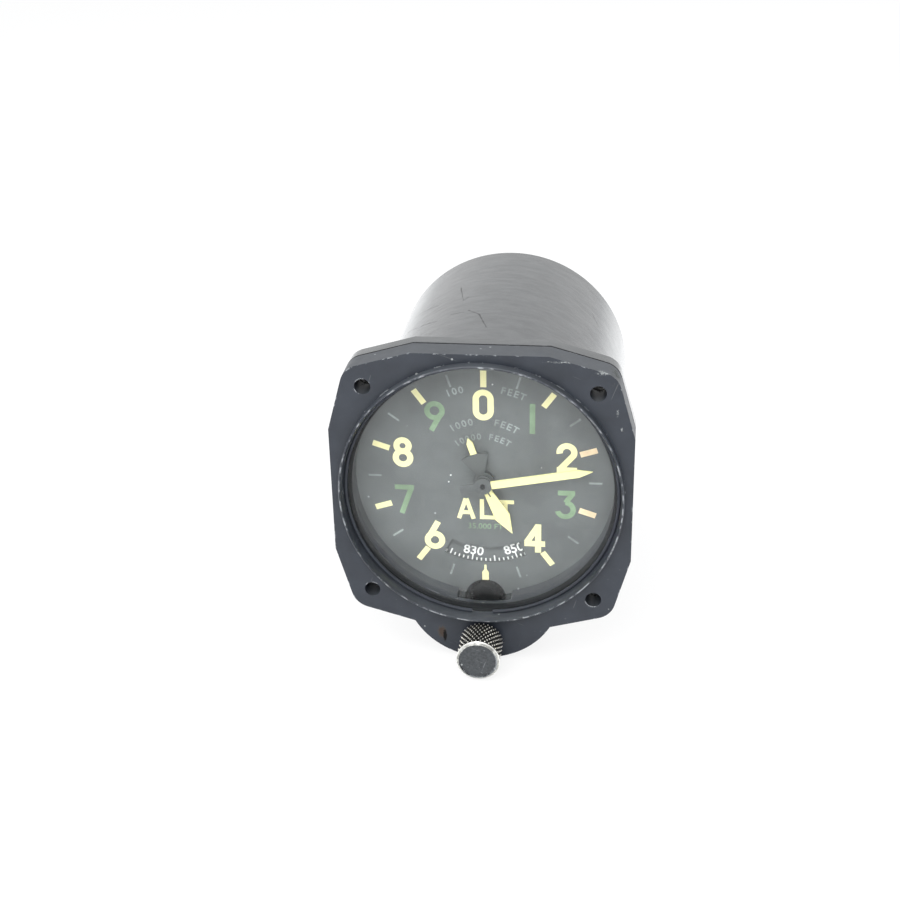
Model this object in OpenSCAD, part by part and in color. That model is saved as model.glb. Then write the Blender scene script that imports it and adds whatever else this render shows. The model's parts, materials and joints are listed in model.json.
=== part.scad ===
// Three-pointer aircraft altimeter with a barometric setting knob.
// X is to the right, Z is up and Y runs from the front into the case.
// The origin is the centre of the flange's front face, on the pointer axis.
// All dimensions are in millimetres and all depths are distances along Y.

/* [Flange] */
// Distance of the panel screw holes' centres outside the can
bolt_out = 6.95; // [5.5:0.05:9.5]
// Diameter of each panel screw hole
bolt_hole_d = 4.4; // [3.2:0.1:5.4]
// Width of the flange's ledge outside the can at its flats
flange_ledge = 4; // [3.5:0.1:7.5]
// Length of the flat in the middle of each side
flat_l = 37; // [28:0.5:42]
// Radius of the ear round each panel screw hole
ear_r = 6.2; // [5.5:0.1:9]
// Thickness of the bezel
bezel_t = 7.3; // [6.5:0.1:9]
// Thickness of the case's own flange
case_flange_t = 4.7; // [4.5:0.1:7]
// Thickness of the gasket between bezel and case
gasket_t = 0.5; // [0.3:0.1:1.5]

/* [Glass] */
// Distance of the lip's outside beyond the can
lip_out = 1.75; // [0.5:0.05:3]
// Height of the lip above the flange
lip_proud = 2.7; // [1:0.1:4]
// Thickness of the lip
lip_wall = 1; // [0.8:0.1:2]
// Depth of the glass below the flange's front face
glass_depth = 1.6; // [1.2:0.1:2.2]
// Thickness of the glass
glass_t = 2.4; // [1.5:0.1:3]
// Thickness of the rubber ring behind the glass
glass_seal_t = 0.4; // [0.2:0.1:0.8]
// Width of the shoulder that carries the glass
shoulder_w = 1.8; // [1:0.1:2.4]
// Wire diameter of the snap ring that holds the glass
snap_wire_d = 1; // [0.7:0.1:1.2]

/* [Dial] */
// Depth of the dial's front face in the mouth of the case
dial_seat = 3; // [2.4:0.1:3.2]
// Thickness of the dial plate
dial_t = 0.8; // [0.5:0.1:1]
// Wall of the ring between bezel and dial
spacer_wall = 1.2; // [0.8:0.1:1.5]
// Inner radius of the window over the pressure scale
window_r_in = 21.9; // [21:0.1:23]
// Outer radius of the window over the pressure scale
window_r_out = 26.8; // [26:0.1:27.4]
// Angle that the window covers
window_angle = 52; // [40:1:58]
// Radius of the notch over the idler gear
notch_r = 5.9; // [5.2:0.1:6.2]

/* [Case] */
// Outside diameter of the can
case_d = 75; // [74.6:0.1:76]
// Wall thickness of the can
case_wall = 2.2; // [1.6:0.1:2.4]
// Distance from the flange's front face to the rear face
case_l = 100; // [90:0.5:120]
// Thickness of the rear wall
rear_wall = 3; // [2:0.1:5]
// Rounding of the rear edge
rear_edge_r = 1.2; // [0.6:0.1:3]
// Thread diameter of the static pressure port
port_d = 9.6; // [8:0.1:12]
// Length of the port's thread
port_l = 10; // [6:0.5:16]

/* [Setting knob] */
// Radius of the lobe that carries the knob
lobe_r = 22.2; // [20:0.1:24]
// Distance from the knob's axis to the lobe's lowest point
lobe_edge = 6.6; // [5.5:0.1:10]
// Diameter of the knob
knob_d = 12.4; // [9:0.1:14]
// Length of the knob
knob_l = 11; // [7:0.1:16]
// Gap between the knob and its bush
knob_gap = 0.4; // [0.2:0.1:1.5]
// Diameter of the knob's shaft
shaft_d = 3.2; // [2.6:0.1:3.4]
// Tooth module of the setting gears
set_module = 0.5; // [0.49:0.005:0.505]

/* [Pointers] */
// Length of the hundred-foot pointer from its pivot
pointer_100_l = 30.9; // [26:0.1:33]
// Width of the hundred-foot pointer
pointer_100_w = 2.3; // [1.6:0.1:3]
// Length of the thousand-foot pointer from its pivot
pointer_1000_l = 17.3; // [14:0.1:20]
// Greatest width of the thousand-foot pointer
pointer_1000_w = 4.5; // [3.2:0.1:6]
// Length of the ten-thousand-foot pointer from its pivot
pointer_10k_l = 14; // [12:0.1:17]
// Angle of the fan at the root of the ten-thousand-foot pointer
fan_angle = 52; // [36:1:70]
// Thickness of each pointer
pointer_t = 0.5; // [0.3:0.05:0.7]
// Distance between the pointers' planes
pointer_step = 1.4; // [1:0.05:1.6]
// Altitude shown, in feet
altitude_shown = 4220; // [0:10:35000]
// Angle of the ten-thousand-foot pointer as found, clockwise from the top
pointer_10k_found = -18; // [-30:1:30]

/* [Movement] */
// Tooth module of the pointer reduction gears
train_module = 0.4; // [0.38:0.005:0.42]
// Room between the sector's centre distance and the plates' rim
drive_room = 5; // [4.6:0.1:6]
// Thickness of the movement's plates
plate_t = 1.5; // [1:0.1:2]
// Distance of the movement's plates inside the rib that carries the front one
plate_inset = 1.5; // [1:0.1:2]
// Diameter of the pointer staff
staff_d = 1.4; // [1:0.05:1.6]
// Wall of each pointer sleeve
sleeve_wall = 0.54; // [0.4:0.02:0.6]
// Diameter of the train's arbors
arbor_d = 1.6; // [1.2:0.05:1.8]
// Diameter of the rocking shaft
rock_d = 2.4; // [1.8:0.1:3]
// Thickness of each wheel
wheel_t = 1; // [0.7:0.05:1.2]
// Free space between neighbouring wheels
wheel_gap = 0.4; // [0.3:0.05:0.7]
// Diameter of the plate pillars
pillar_d = 3.8; // [3:0.1:4.4]
// Radius of the crank that the capsules turn
crank_r = 4.5; // [4:0.1:5]

/* [Capsules] */
// Room between the capsules' rim and the can, along the radius
capsule_room = 17.3; // [16.6:0.1:21]
// Thickness of each aneroid capsule at its rim
capsule_t = 6; // [4:0.1:7]
// Number of capsules in the stack
capsule_count = 2; // [1:1:2]
// Depth of the corrugations
corrugation = 0.5; // [0:0.05:0.8]

/* [Fits] */
// Radial clearance of a turning fit
run_clear = 0.06; // [0.03:0.01:0.09]
// Radial clearance of a seated fit
seat_clear = 0.02; // [0.01:0.01:0.04]

/* [Hidden] */
$fn = 96;
cut = 1;

// Colours as painted, and of bare metal
black_paint = [0.10, 0.105, 0.11];
dial_black = [0.16, 0.165, 0.17];
cream = [0.95, 0.93, 0.74];
brass = [0.80, 0.65, 0.33];
steel = [0.68, 0.69, 0.70];
rubber = [0.06, 0.06, 0.06];

// Radii of the can
case_r = case_d / 2;
bore_r = case_r - case_wall;

// Radii of the bezel and the glass
lip_r = case_r + lip_out;
lip_in_r = lip_r - lip_wall;
lip_bevel = 0.3;
lip_land = 0.2;
lip_land_r = lip_r - lip_bevel - lip_land;
lip_slope = 1.5;
glass_r = lip_in_r - 0.15;
throat_r = lip_in_r - shoulder_w;
glass_back_y = glass_depth + glass_t;
glass_seat_y = glass_back_y + glass_seal_t;
snap_r = snap_wire_d / 2;
relief_w = 15.6;
relief_d = 1.05;
relief_y = glass_seat_y + 1.2;

// Depths of the flange stack and the dial
case_y = bezel_t + gasket_t;
case_flange_y = case_y + case_flange_t;
dial_y = case_y + dial_seat;
dial_back_y = dial_y + dial_t;
mouth_r = throat_r + spacer_wall;
dial_r = mouth_r - 0.1;
dial_hole_r = 2.6;

// Panel screw holes, and the outline's tangent from flat to ear
hole_at = (case_r + bolt_out) * sqrt(0.5);
flat_x = case_r + flange_ledge;
flat_z = flat_l / 2;
ear_reach = norm([flat_x - hole_at, flat_z - hole_at]);
ear_start = atan2(flat_z - hole_at, flat_x - hole_at) + acos(ear_r / ear_reach);
ear_steps = 8;

// Case screws, set in from behind between the ears and the mouth
case_screw_r = 1;
case_screw_head_r = 1.9;
case_screw_head_t = 1.4;
case_screw_at = mouth_r + 4.4;
case_screw_turn = 30;
case_screw_bite = 4;

// Setting train: the knob's pinion, an idler and the ring under the dial
pinion_z = 12;
idler_z = 18;
ring_clear = 0.75;
ring_z = 2 * floor((bore_r - ring_clear) / set_module) - 2;
ring_r = ring_z * set_module / 2;
idler_at = [0, -(ring_z + idler_z) * set_module / 2];
knob_at = [0, -(ring_z + 2 * idler_z + pinion_z) * set_module / 2];
lobe_at = knob_at + [0, lobe_r - lobe_edge];
shaft_r = shaft_d / 2;
bush_r = shaft_r + 1.7;
bush_head_r = bush_r + 0.9;
bush_head_t = 0.8;
bush_back_y = bezel_t - 1.8;
knob_back_y = -bush_head_t - knob_gap;
knob_front_y = knob_back_y - knob_l;
knob_bore_l = knob_l * 0.7;
grub_r = 0.9;
grub_inset = 3;
scale_y = dial_back_y + 0.6;
scale_t = 0.5;
ring_y = scale_y + scale_t;
ring_t = 1.6;
ring_back_y = ring_y + ring_t;
pocket_y = ring_back_y + 1.9;
lobe_back_y = pocket_y + 2.4;
pivot_y = pocket_y + 1.7;
idler_pocket_r = notch_r;
pinion_pocket_r = pinion_z * set_module / 2 + 1.2;
stud_r = 1.4;
stud_head_r = 2.5;
stud_head_t = 0.5;
clip_y = case_y + 0.5;
clip_t = 0.6;
clip_r = shaft_r + 1.5;
clip_groove = 0.4;

// Pressure scale and its bearing on the front plate
boss_r = 18.5;
boss_wall = 3;
shoulder_r = boss_r + 1.5;
scale_r_in = boss_r + run_clear;
scale_inset = 4.5;
scale_r_out = ring_r - scale_inset;
rim_w = 1.7;
rim_r_in = scale_r_out - rim_w;
rivet_r = 0.6;
rivet_at = (rim_r_in + scale_r_out) / 2;
rivet_head_r = 1.1;
rivet_head_t = 0.4;

// Front plate, seated on the rib inside the can
front_y = ring_back_y + 0.7;
front_back_y = front_y + plate_t;
rib_w = 3.3;
rib_r = bore_r - rib_w;
plate_r = rib_r - plate_inset;
rib_t = 4.4;
plate_screw_r = 1;
plate_screw_at = (rib_r + bore_r) / 2 - 0.3;
plate_screw_head_r = 1.4;
plate_screw_head_t = 0.7;
plate_screw_angles = [30, 150, 270];

// Pointer reduction: two stages of ten to one on one centre distance
small_z = 12;
large_z = 40;
small_z2 = 13;
large_z2 = 39;
stage_a = (small_z + large_z) * train_module / 2;
stage_dir_a = 140;
stage_dir_b = -40;
arbor_a_at = stage_a * [cos(stage_dir_a), sin(stage_dir_a)];
arbor_b_at = stage_a * [cos(stage_dir_b), sin(stage_dir_b)];
staff_r = staff_d / 2;
sleeve_in_r = staff_r + run_clear;
sleeve_r = sleeve_in_r + sleeve_wall;
outer_in_r = sleeve_r + run_clear;
outer_r = outer_in_r + sleeve_wall;
pointer_bush_in_r = outer_r + run_clear;
pointer_bush_r = pointer_bush_in_r + 1.3;
arbor_r = arbor_d / 2;
bush_lip = 0.3;
wheel_step = wheel_t + wheel_gap;
gear_10k_y = front_back_y + bush_lip + 0.3;
wheel_b_y = gear_10k_y + wheel_step;
gear_1000_y = wheel_b_y + wheel_step;
wheel_a_y = gear_1000_y + wheel_step;
train_y = wheel_a_y + wheel_t + 0.6;
train_back_y = train_y + plate_t;

// Pointer planes, counted forwards from the dial
pointer_clear = 1.9;
pointer_10k_y = dial_y - pointer_clear;
pointer_1000_y = pointer_10k_y - pointer_step;
pointer_100_y = pointer_1000_y - pointer_step;
hub_t = 0.4;

// Pointer angles at rest, clockwise from the top
turn_100 = 360 * (altitude_shown % 1000) / 1000;
turn_1000 = 360 * (altitude_shown % 10000) / 10000;
pointer_100_turn = turn_100;
pointer_1000_turn = turn_1000;

// Drive from the rocking shaft to the pointer staff
staff_z = 10;
drive_z = 90;
drive_pinion_z = 10;
sector_z = 160;
rock_a = plate_r - drive_room;
drive_module = 2 * rock_a / (drive_pinion_z + sector_z);
drive_a = (staff_z + drive_z) * drive_module / 2;
drive_dir = 230;
rock_dir = 30;
drive_at = drive_a * [cos(drive_dir), sin(drive_dir)];
rock_at = drive_at + rock_a * [cos(rock_dir), sin(rock_dir)];
rock_r = rock_d / 2;
drive_y = train_back_y + 1;
middle_y = drive_y + wheel_t + 1.2;
middle_back_y = middle_y + plate_t;
sector_y = middle_back_y + 1.2;
sector_t = 1.2;
rear_y = sector_y + sector_t + 1.6;
rear_back_y = rear_y + plate_t;
drive_ratio = staff_z * drive_pinion_z / (drive_z * sector_z);
ceiling_ft = 35000;
swing_below = altitude_shown * 0.36 * drive_ratio;
swing_above = (ceiling_ft - altitude_shown) * 0.36 * drive_ratio;
sector_spare = 5;
sector_first = rock_dir + 180 - swing_below - sector_spare;
sector_last = rock_dir + 180 + swing_above + sector_spare;
sector_rim_w = 2.4;
sector_arm_w = 2.2;
sector_hub_r = rock_r + 2;
weight_r = 4.2;
weight_at = 6;
weight_turn = (sector_first + sector_last) / 2 + 180;

// Pillars that hold the plates apart
pillar_inset = 3.3;
pillar_ring_r = plate_r - pillar_inset;
pillar_angles = [75, 170, 290];
pillar_r = pillar_d / 2;
tie_r = 0.9;
tie_head_t = 1.1;

// Capsules, lying across the case, and the crank they turn
half_swing = (swing_below + swing_above) / 2;
crank_rest = swing_below - half_swing;
capsule_r = bore_r - capsule_room;
capsule_gap = 3;
capsule_y = rear_back_y + capsule_gap + capsule_r;
capsule_z = rock_at[1] + crank_r * 0.885;
crank_pin_r = 0.6;
crank_t = 1.6;
crank_pin_at = rock_at + crank_r * [sin(crank_rest), cos(crank_rest)];
link_t = 1.2;
link_w = 1.8;
link_stud_r = 1.2;
slot_side = 0.35;
slot_up = 0.95;
bracket_inset = 3.1;
bracket_x = bracket_inset - plate_r;
bracket_t = 1.5;
bracket_up = 12;
bracket_foot = 10;
capsule_pitch = capsule_t + capsule_gap;
capsule_first_x = bracket_x + bracket_t;
capsule_neck_r = 2.4;
capsule_stud_r = 1.5;
capsule_end_x = capsule_first_x + capsule_count * capsule_pitch + 1.5;
bracket_screw_r = 0.9;
bracket_screw_head_r = 1.6;
bracket_screw_zs = [-7, 7];
nut_across_r = 3.4;
nut_t = 2;

// Cock that carries the rocking shaft's rear end
cock_y = capsule_y + link_t / 2 + crank_t + 4;
cock_t = 1.5;
cock_pillar_r = 1.6;
cock_stud_r = 0.9;
cock_at = [rock_at + [9, -11], rock_at + [9, 11]];
cock_eye_r = 3;

// Hairspring round the rocking shaft
spring_turns = 5;
spring_in_r = rock_r + 0.3;
spring_out_r = 6.4;
spring_wire = 0.25;
spring_steps = 24;
spring_y = rear_back_y + 0.8;
spring_h = 0.8;
spring_stud_r = 0.7;
spring_end = rock_at + [spring_out_r + spring_wire + spring_stud_r + 0.05, 0];

// Static port
port_r = port_d / 2;
port_seat_r = port_r - 0.8;
port_bore_r = 1.8;
port_hex_r = port_r + 3.4;
port_hex_t = 4.2;
washer_t = 0.8;

// Involute gears, with stub teeth thinned for play
pressure = 25;
tooth_add = 0.8;
tooth_ded = 1.1;
tooth_thin = 0.14;

function inv(a) = tan(a) * 180 / PI - a;
function turned_by(p, a) = [p[0] * cos(a) - p[1] * sin(a), p[0] * sin(a) + p[1] * cos(a)];
function polar(r, a) = r * [cos(a), sin(a)];

// Half the angle of a tooth at radius r
function tooth_half(z, m, r) =
    let (base = z * m / 2 * cos(pressure))
    90 / z * (1 - tooth_thin) + inv(pressure) - (r > base ? inv(acos(base / r)) : 0);

// One tooth's points, centred on angle a
function tooth(z, m, a) =
    let (r = z * m / 2)
    let (levels = [r - tooth_ded * m, r, r + tooth_add * m])
    concat(
        [for (i = [0:2]) polar(levels[i], a - tooth_half(z, m, levels[i]))],
        [for (i = [2:-1:0]) polar(levels[i], a + tooth_half(z, m, levels[i]))]
    );

// A whole gear's points, with its first tooth centred on angle a
function gear_points(z, m, a) = [for (i = [0:z - 1]) each tooth(z, m, a + i * 360 / z)];

// Angle of a gear whose gap takes a mate's tooth coming from direction a
function gap_turn(z, a) = a + 180 / z;

function ear_points() = [
    for (i = [0:ear_steps])
        [hole_at, hole_at] + polar(ear_r, ear_start + (90 - 2 * ear_start) * i / ear_steps)
];
function flange_points() = [
    for (q = [0:3])
        for (p = concat([[flat_x, -flat_z], [flat_x, flat_z]], ear_points()))
            turned_by(p, 90 * q)
];
function ring_sector(r_in, r_out, a0, a1, steps = 24) = concat(
    [for (i = [0:steps]) polar(r_out, a0 + (a1 - a0) * i / steps)],
    [for (i = [steps:-1:0]) polar(r_in, a0 + (a1 - a0) * i / steps)]
);

// A front-view drawing made solid from depth y0 to depth y1
module slab(y0, y1) {
    translate([0, y1, 0]) rotate([90, 0, 0]) linear_extrude(y1 - y0) children();
}

// A round bar along Y, placed at a front-view point
module rod(y0, y1, r, at = [0, 0]) {
    translate([at[0], y1, at[1]]) rotate([90, 0, 0]) cylinder(h = y1 - y0, r = r);
}

module tube(y0, y1, r_out, r_in, at = [0, 0]) {
    difference() {
        rod(y0, y1, r_out, at);
        rod(y0 - cut, y1 + cut, r_in, at);
    }
}

// A profile of radius and depth turned about the pointer axis
module turned() {
    rotate([-90, 0, 0]) rotate_extrude() children();
}

// A profile of radius and height turned about an axis along X
module turned_x(at_y, at_z) {
    translate([0, at_y, at_z]) rotate([0, 90, 0]) rotate_extrude() children();
}

module placed(at) {
    translate([at[0], 0, at[1]]) children();
}

module at_holes() {
    for (x = [-hole_at, hole_at])
        for (z = [-hole_at, hole_at])
            placed([x, z]) children();
}

module at_case_screws() {
    for (q = [0:3])
        placed(polar(case_screw_at, case_screw_turn + 90 * q)) children();
}

module at_pillars() {
    for (a = pillar_angles)
        placed(polar(pillar_ring_r, a)) children();
}

module face_outline() {
    polygon(flange_points());
    translate(lobe_at) circle(r = lobe_r);
}

module gear_2d(z, m, a) {
    polygon(gear_points(z, m, a));
}

// A thin wheel with round lightening holes and a collet
module wheel(y0, z, m, a, at, bore, collet_t) {
    r = z * m / 2;
    collet_r = bore + 1.1;
    hole_ring = (r - tooth_ded * m + collet_r) / 2;
    hole_r = min((r - tooth_ded * m - collet_r) / 2, hole_ring * sin(36)) - 0.6;
    placed(at) difference() {
        union() {
            slab(y0, y0 + wheel_t) gear_2d(z, m, a);
            rod(y0 + wheel_t, y0 + wheel_t + collet_t, collet_r);
        }
        rod(y0 - cut, y0 + wheel_t + collet_t + cut, bore);
        for (i = [0:4])
            rod(y0 - cut, y0 + wheel_t + cut, hole_r, polar(hole_ring, a + 72 * i));
    }
}

// A cheese-head screw, its shank running to y1 from a head seated at y0
module screw(y0, y1, shank_r, head_r, head_t) {
    forward = y1 < y0;
    head_y = forward ? y0 : y0 - head_t;
    slot_y = forward ? y0 + head_t * 0.55 : y0 - head_t - cut;
    difference() {
        union() {
            rod(head_y, head_y + head_t, head_r);
            rod(min(y0, y1), max(y0, y1), shank_r);
        }
        translate([-head_r - cut, slot_y, -head_r * 0.16])
            cube([2 * (head_r + cut), head_t * 0.45 + cut, head_r * 0.32]);
    }
}

// Casing

// Flat-floored relief in front of the dial's notch, down to a distance below the pointer axis
module relief(y0, y1, drop) {
    translate([-relief_w / 2, y0, -drop]) cube([relief_w, y1 - y0, drop]);
}

module bezel() {
    color(black_paint) difference() {
        union() {
            slab(0, bezel_t) face_outline();
            turned() polygon([
                [throat_r, cut],
                [throat_r, -lip_proud],
                [lip_r - lip_bevel, -lip_proud],
                [lip_r, -lip_proud + lip_bevel],
                [lip_r, cut]
            ]);
        }
        turned() polygon([
            [0, -lip_proud - cut],
            [lip_land_r, -lip_proud - cut],
            [lip_land_r, -lip_proud],
            [lip_in_r, -lip_proud + lip_slope],
            [lip_in_r, glass_seat_y],
            [throat_r, glass_seat_y],
            [throat_r, bezel_t + cut],
            [0, bezel_t + cut]
        ]);
        at_holes() rod(-cut, bezel_t + cut, bolt_hole_d / 2);
        at_case_screws() rod(case_y - case_screw_bite - gasket_t, bezel_t + cut, case_screw_r + seat_clear);
        rod(-cut, bezel_t + cut, bush_r + seat_clear, knob_at);
        relief(relief_y, bezel_t + cut, throat_r + relief_d);
    }
}

module cover_glass() {
    color([0.8, 0.85, 0.88, 0.35]) rod(glass_depth, glass_back_y, glass_r);
}

module glass_gasket() {
    color(rubber) tube(glass_back_y, glass_seat_y, glass_r, throat_r);
}

module glass_snap_ring() {
    gap = 9;
    wire_at = lip_in_r - snap_r - seat_clear;
    color(steel) rotate([-90, 0, 0]) rotate([0, 0, 90 + gap / 2])
        rotate_extrude(angle = 360 - gap)
            translate([wire_at, glass_depth - snap_r - seat_clear]) circle(r = snap_r, $fn = 24);
}

module dial_spacer_ring() {
    color(black_paint) difference() {
        tube(bezel_t, dial_y, mouth_r - seat_clear, throat_r);
        relief(bezel_t - cut, dial_y + cut, mouth_r + cut);
    }
}

module dial_plate() {
    half = window_angle / 2;
    color(dial_black) difference() {
        rod(dial_y, dial_back_y, dial_r);
        rod(dial_y - cut, dial_back_y + cut, dial_hole_r);
        rod(dial_y - cut, dial_back_y + cut, notch_r, idler_at);
        slab(dial_y - cut, dial_back_y + cut)
            polygon(ring_sector(window_r_in, window_r_out, 270 - half, 270 + half));
    }
}

module gear_pocket(y0, y1) {
    rod(y0, y1, idler_pocket_r, idler_at);
    rod(y0, y1, pinion_pocket_r, knob_at);
}

module case_gasket() {
    color(rubber) difference() {
        slab(bezel_t, case_y) face_outline();
        rod(bezel_t - cut, case_y + cut, mouth_r);
        at_holes() rod(bezel_t - cut, case_y + cut, bolt_hole_d / 2);
        at_case_screws() rod(bezel_t - cut, case_y + cut, case_screw_r + seat_clear);
        gear_pocket(bezel_t - cut, case_y + cut);
    }
}

// Pockets and pivots of the setting gears, cut in the flange and in the shell behind it
module setting_cuts() {
    gear_pocket(case_y - cut, pocket_y);
    rod(pocket_y - cut, pivot_y, shaft_r + run_clear, knob_at);
    rod(pocket_y - cut, pivot_y, stud_r + seat_clear, idler_at);
}

module case_flange() {
    color(black_paint) difference() {
        union() {
            slab(case_y, case_flange_y) face_outline();
            slab(case_flange_y - cut, lobe_back_y) difference() {
                translate(lobe_at) circle(r = lobe_r);
                circle(r = case_r + 0.02);
            }
        }
        turned() polygon([
            [0, case_y - cut],
            [mouth_r, case_y - cut],
            [mouth_r, dial_back_y],
            [bore_r, dial_back_y],
            [bore_r, case_flange_y + cut],
            [0, case_flange_y + cut]
        ]);
        setting_cuts();
        at_holes() rod(case_y - cut, case_flange_y + cut, bolt_hole_d / 2);
        at_case_screws() {
            rod(case_y - cut, case_flange_y + cut, case_screw_r + seat_clear);
            rod(case_flange_y, lobe_back_y + cut, case_screw_head_r + 0.3);
        }
    }
}

module case_shell() {
    arc = [for (i = [0:6]) [case_r - rear_edge_r, case_l - rear_edge_r] + polar(rear_edge_r, 15 * i)];
    rib_y = front_back_y;
    color(black_paint) difference() {
        turned() polygon(concat([[0, case_flange_y], [case_r, case_flange_y]], arc, [[0, case_l]]));
        turned() polygon([
            [0, case_flange_y - cut],
            [bore_r, case_flange_y - cut],
            [bore_r, rib_y],
            [rib_r, rib_y],
            [rib_r, rib_y + rib_t],
            [bore_r, rib_y + rib_t],
            [bore_r, case_l - rear_wall],
            [0, case_l - rear_wall]
        ]);
        setting_cuts();
        for (a = plate_screw_angles)
            rod(rib_y - cut, rib_y + rib_t - 0.6, plate_screw_r + seat_clear, polar(plate_screw_at, a));
        rod(case_l - rear_wall - cut, case_l + cut, port_seat_r + seat_clear);
    }
}

module case_screws() {
    color(steel) at_case_screws()
        screw(case_flange_y, case_y - case_screw_bite, case_screw_r, case_screw_head_r, case_screw_head_t);
}

module static_port() {
    hex_y = case_l + washer_t;
    color(brass) difference() {
        union() {
            rod(case_l - rear_wall, hex_y, port_seat_r);
            slab(hex_y, hex_y + port_hex_t) circle(r = port_hex_r, $fn = 6);
            turned() polygon([
                [0, hex_y],
                [port_r, hex_y],
                [port_r, hex_y + port_hex_t + port_l - 0.8],
                [port_r - 0.8, hex_y + port_hex_t + port_l],
                [0, hex_y + port_hex_t + port_l]
            ]);
        }
        rod(case_l - rear_wall - cut, hex_y + port_hex_t + port_l + cut, port_bore_r);
    }
}

module port_washer() {
    color(rubber) tube(case_l, case_l + washer_t, port_r + 1.8, port_seat_r + seat_clear);
}

// Setting knob and its gears

module setting_bush() {
    color(steel) placed(knob_at) difference() {
        union() {
            rod(-bush_head_t, 0, bush_head_r);
            rod(0, bush_back_y, bush_r);
        }
        rod(-bush_head_t - cut, bush_back_y + cut, shaft_r + run_clear);
    }
}

module shaft_seal() {
    color(rubber) placed(knob_at) tube(bush_back_y, bezel_t, bush_r, shaft_r + seat_clear);
}

module setting_knob() {
    rim = 0.7;
    dish = 0.25;
    color(black_paint) placed(knob_at) difference() {
        turned() polygon([
            [0, knob_back_y],
            [knob_d / 2 - rim, knob_back_y],
            [knob_d / 2, knob_back_y - rim],
            [knob_d / 2, knob_front_y + rim],
            [knob_d / 2 - rim, knob_front_y],
            [0, knob_front_y]
        ]);
        rod(knob_front_y - cut, knob_front_y + dish, knob_d / 2 - 1.4 * rim);
        rod(knob_back_y - knob_bore_l, knob_back_y + cut, shaft_r + seat_clear);
        translate([0, knob_back_y - grub_inset, -knob_d]) cylinder(h = knob_d, r = grub_r + seat_clear);
    }
}

module knob_grub_screw() {
    grub_l = knob_d / 2 - shaft_r - 0.8;
    color(steel) placed(knob_at) translate([0, knob_back_y - grub_inset, -shaft_r - seat_clear - grub_l])
        difference() {
            cylinder(h = grub_l, r = grub_r);
            translate([0, 0, -cut]) cylinder(h = cut + 0.8, r = grub_r / 2, $fn = 6);
        }
}

module knob_shaft() {
    color(steel) placed(knob_at) difference() {
        rod(knob_back_y - knob_bore_l + 0.3, pivot_y - 0.2, shaft_r);
        tube(clip_y, clip_y + clip_t, shaft_r + cut, shaft_r - clip_groove);
    }
}

module shaft_clip() {
    color(steel) placed(knob_at) difference() {
        tube(clip_y + seat_clear, clip_y + clip_t - seat_clear, clip_r, shaft_r - clip_groove + seat_clear);
        slab(clip_y - cut, clip_y + clip_t + cut)
            polygon(ring_sector(0.1, clip_r + cut, 60, 120, 4));
    }
}

module setting_pinion() {
    color(brass) placed(knob_at) difference() {
        union() {
            slab(ring_y - 0.1, ring_back_y + 0.1) gear_2d(pinion_z, set_module, gap_turn(pinion_z, 90));
            rod(ring_back_y, pocket_y - 0.3, shaft_r + 0.8);
        }
        rod(ring_y - cut, pocket_y + cut, shaft_r + seat_clear);
    }
}

module idler_stud() {
    color(steel) placed(idler_at) union() {
        rod(ring_y - 0.4, pivot_y - 0.1, stud_r);
        rod(ring_y - 0.4 - stud_head_t, ring_y - 0.4, stud_head_r);
    }
}

module idler_gear() {
    color(brass) placed(idler_at) difference() {
        union() {
            slab(ring_y + 0.1, ring_back_y - 0.1) gear_2d(idler_z, set_module, 90);
            rod(ring_y - 0.2, pocket_y - 0.2, stud_r + 1.2);
        }
        rod(ring_y - cut, pocket_y + cut, stud_r + run_clear);
    }
}

module baro_scale() {
    color(black_paint) difference() {
        tube(scale_y, ring_y, scale_r_out, scale_r_in + 0.3);
        for (a = [0:120:240])
            rod(scale_y - cut, ring_y + cut, rivet_r + seat_clear, polar(rivet_at, a + 30));
    }
}

module baro_gear() {
    spokes = 6;
    hub_r = boss_r + 2;
    half = 24;
    color(brass) difference() {
        slab(ring_y, ring_back_y) difference() {
            gear_2d(ring_z, set_module, gap_turn(ring_z, -90));
            circle(r = scale_r_in);
            for (i = [0:spokes - 1])
                polygon(ring_sector(hub_r, rim_r_in, 60 * i - half, 60 * i + half, 6));
        }
        for (a = [0:120:240])
            rod(ring_y - cut, ring_back_y + cut, rivet_r + seat_clear, polar(rivet_at, a + 30));
    }
}

module scale_rivets() {
    color(brass) for (a = [0:120:240]) placed(polar(rivet_at, a + 30)) {
        rod(scale_y, ring_back_y, rivet_r);
        rod(ring_back_y, ring_back_y + rivet_head_t, rivet_head_r);
    }
}

// Movement frame

module front_plate() {
    color(brass) difference() {
        turned() polygon([
            [0, front_y],
            [boss_r - boss_wall, front_y],
            [boss_r - boss_wall, dial_back_y],
            [boss_r, dial_back_y],
            [boss_r, ring_back_y + 0.2],
            [shoulder_r, ring_back_y + 0.2],
            [shoulder_r, front_y],
            [bore_r - seat_clear, front_y],
            [bore_r - seat_clear, front_back_y],
            [0, front_back_y]
        ]);
        rod(front_y - cut, front_back_y + cut, pointer_bush_r + seat_clear);
        rod(front_y - cut, front_back_y + cut, arbor_r + run_clear, arbor_a_at);
        rod(front_y - cut, front_back_y + cut, arbor_r + run_clear, arbor_b_at);
        at_pillars() rod(front_y - cut, front_back_y + cut, tie_r + seat_clear);
        for (a = plate_screw_angles)
            rod(front_y - cut, front_back_y + cut, plate_screw_r + seat_clear, polar(plate_screw_at, a));
    }
}

module plate_screws() {
    color(steel) for (a = plate_screw_angles) placed(polar(plate_screw_at, a))
        screw(front_y, front_back_y + rib_t - 1, plate_screw_r, plate_screw_head_r, plate_screw_head_t * 0.8);
}

module pointer_bush() {
    color(brass) difference() {
        union() {
            rod(front_y, front_back_y, pointer_bush_r);
            rod(front_back_y, front_back_y + bush_lip, pointer_bush_r + 0.8);
        }
        rod(front_y - cut, front_back_y + cut, pointer_bush_in_r);
    }
}

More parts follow.
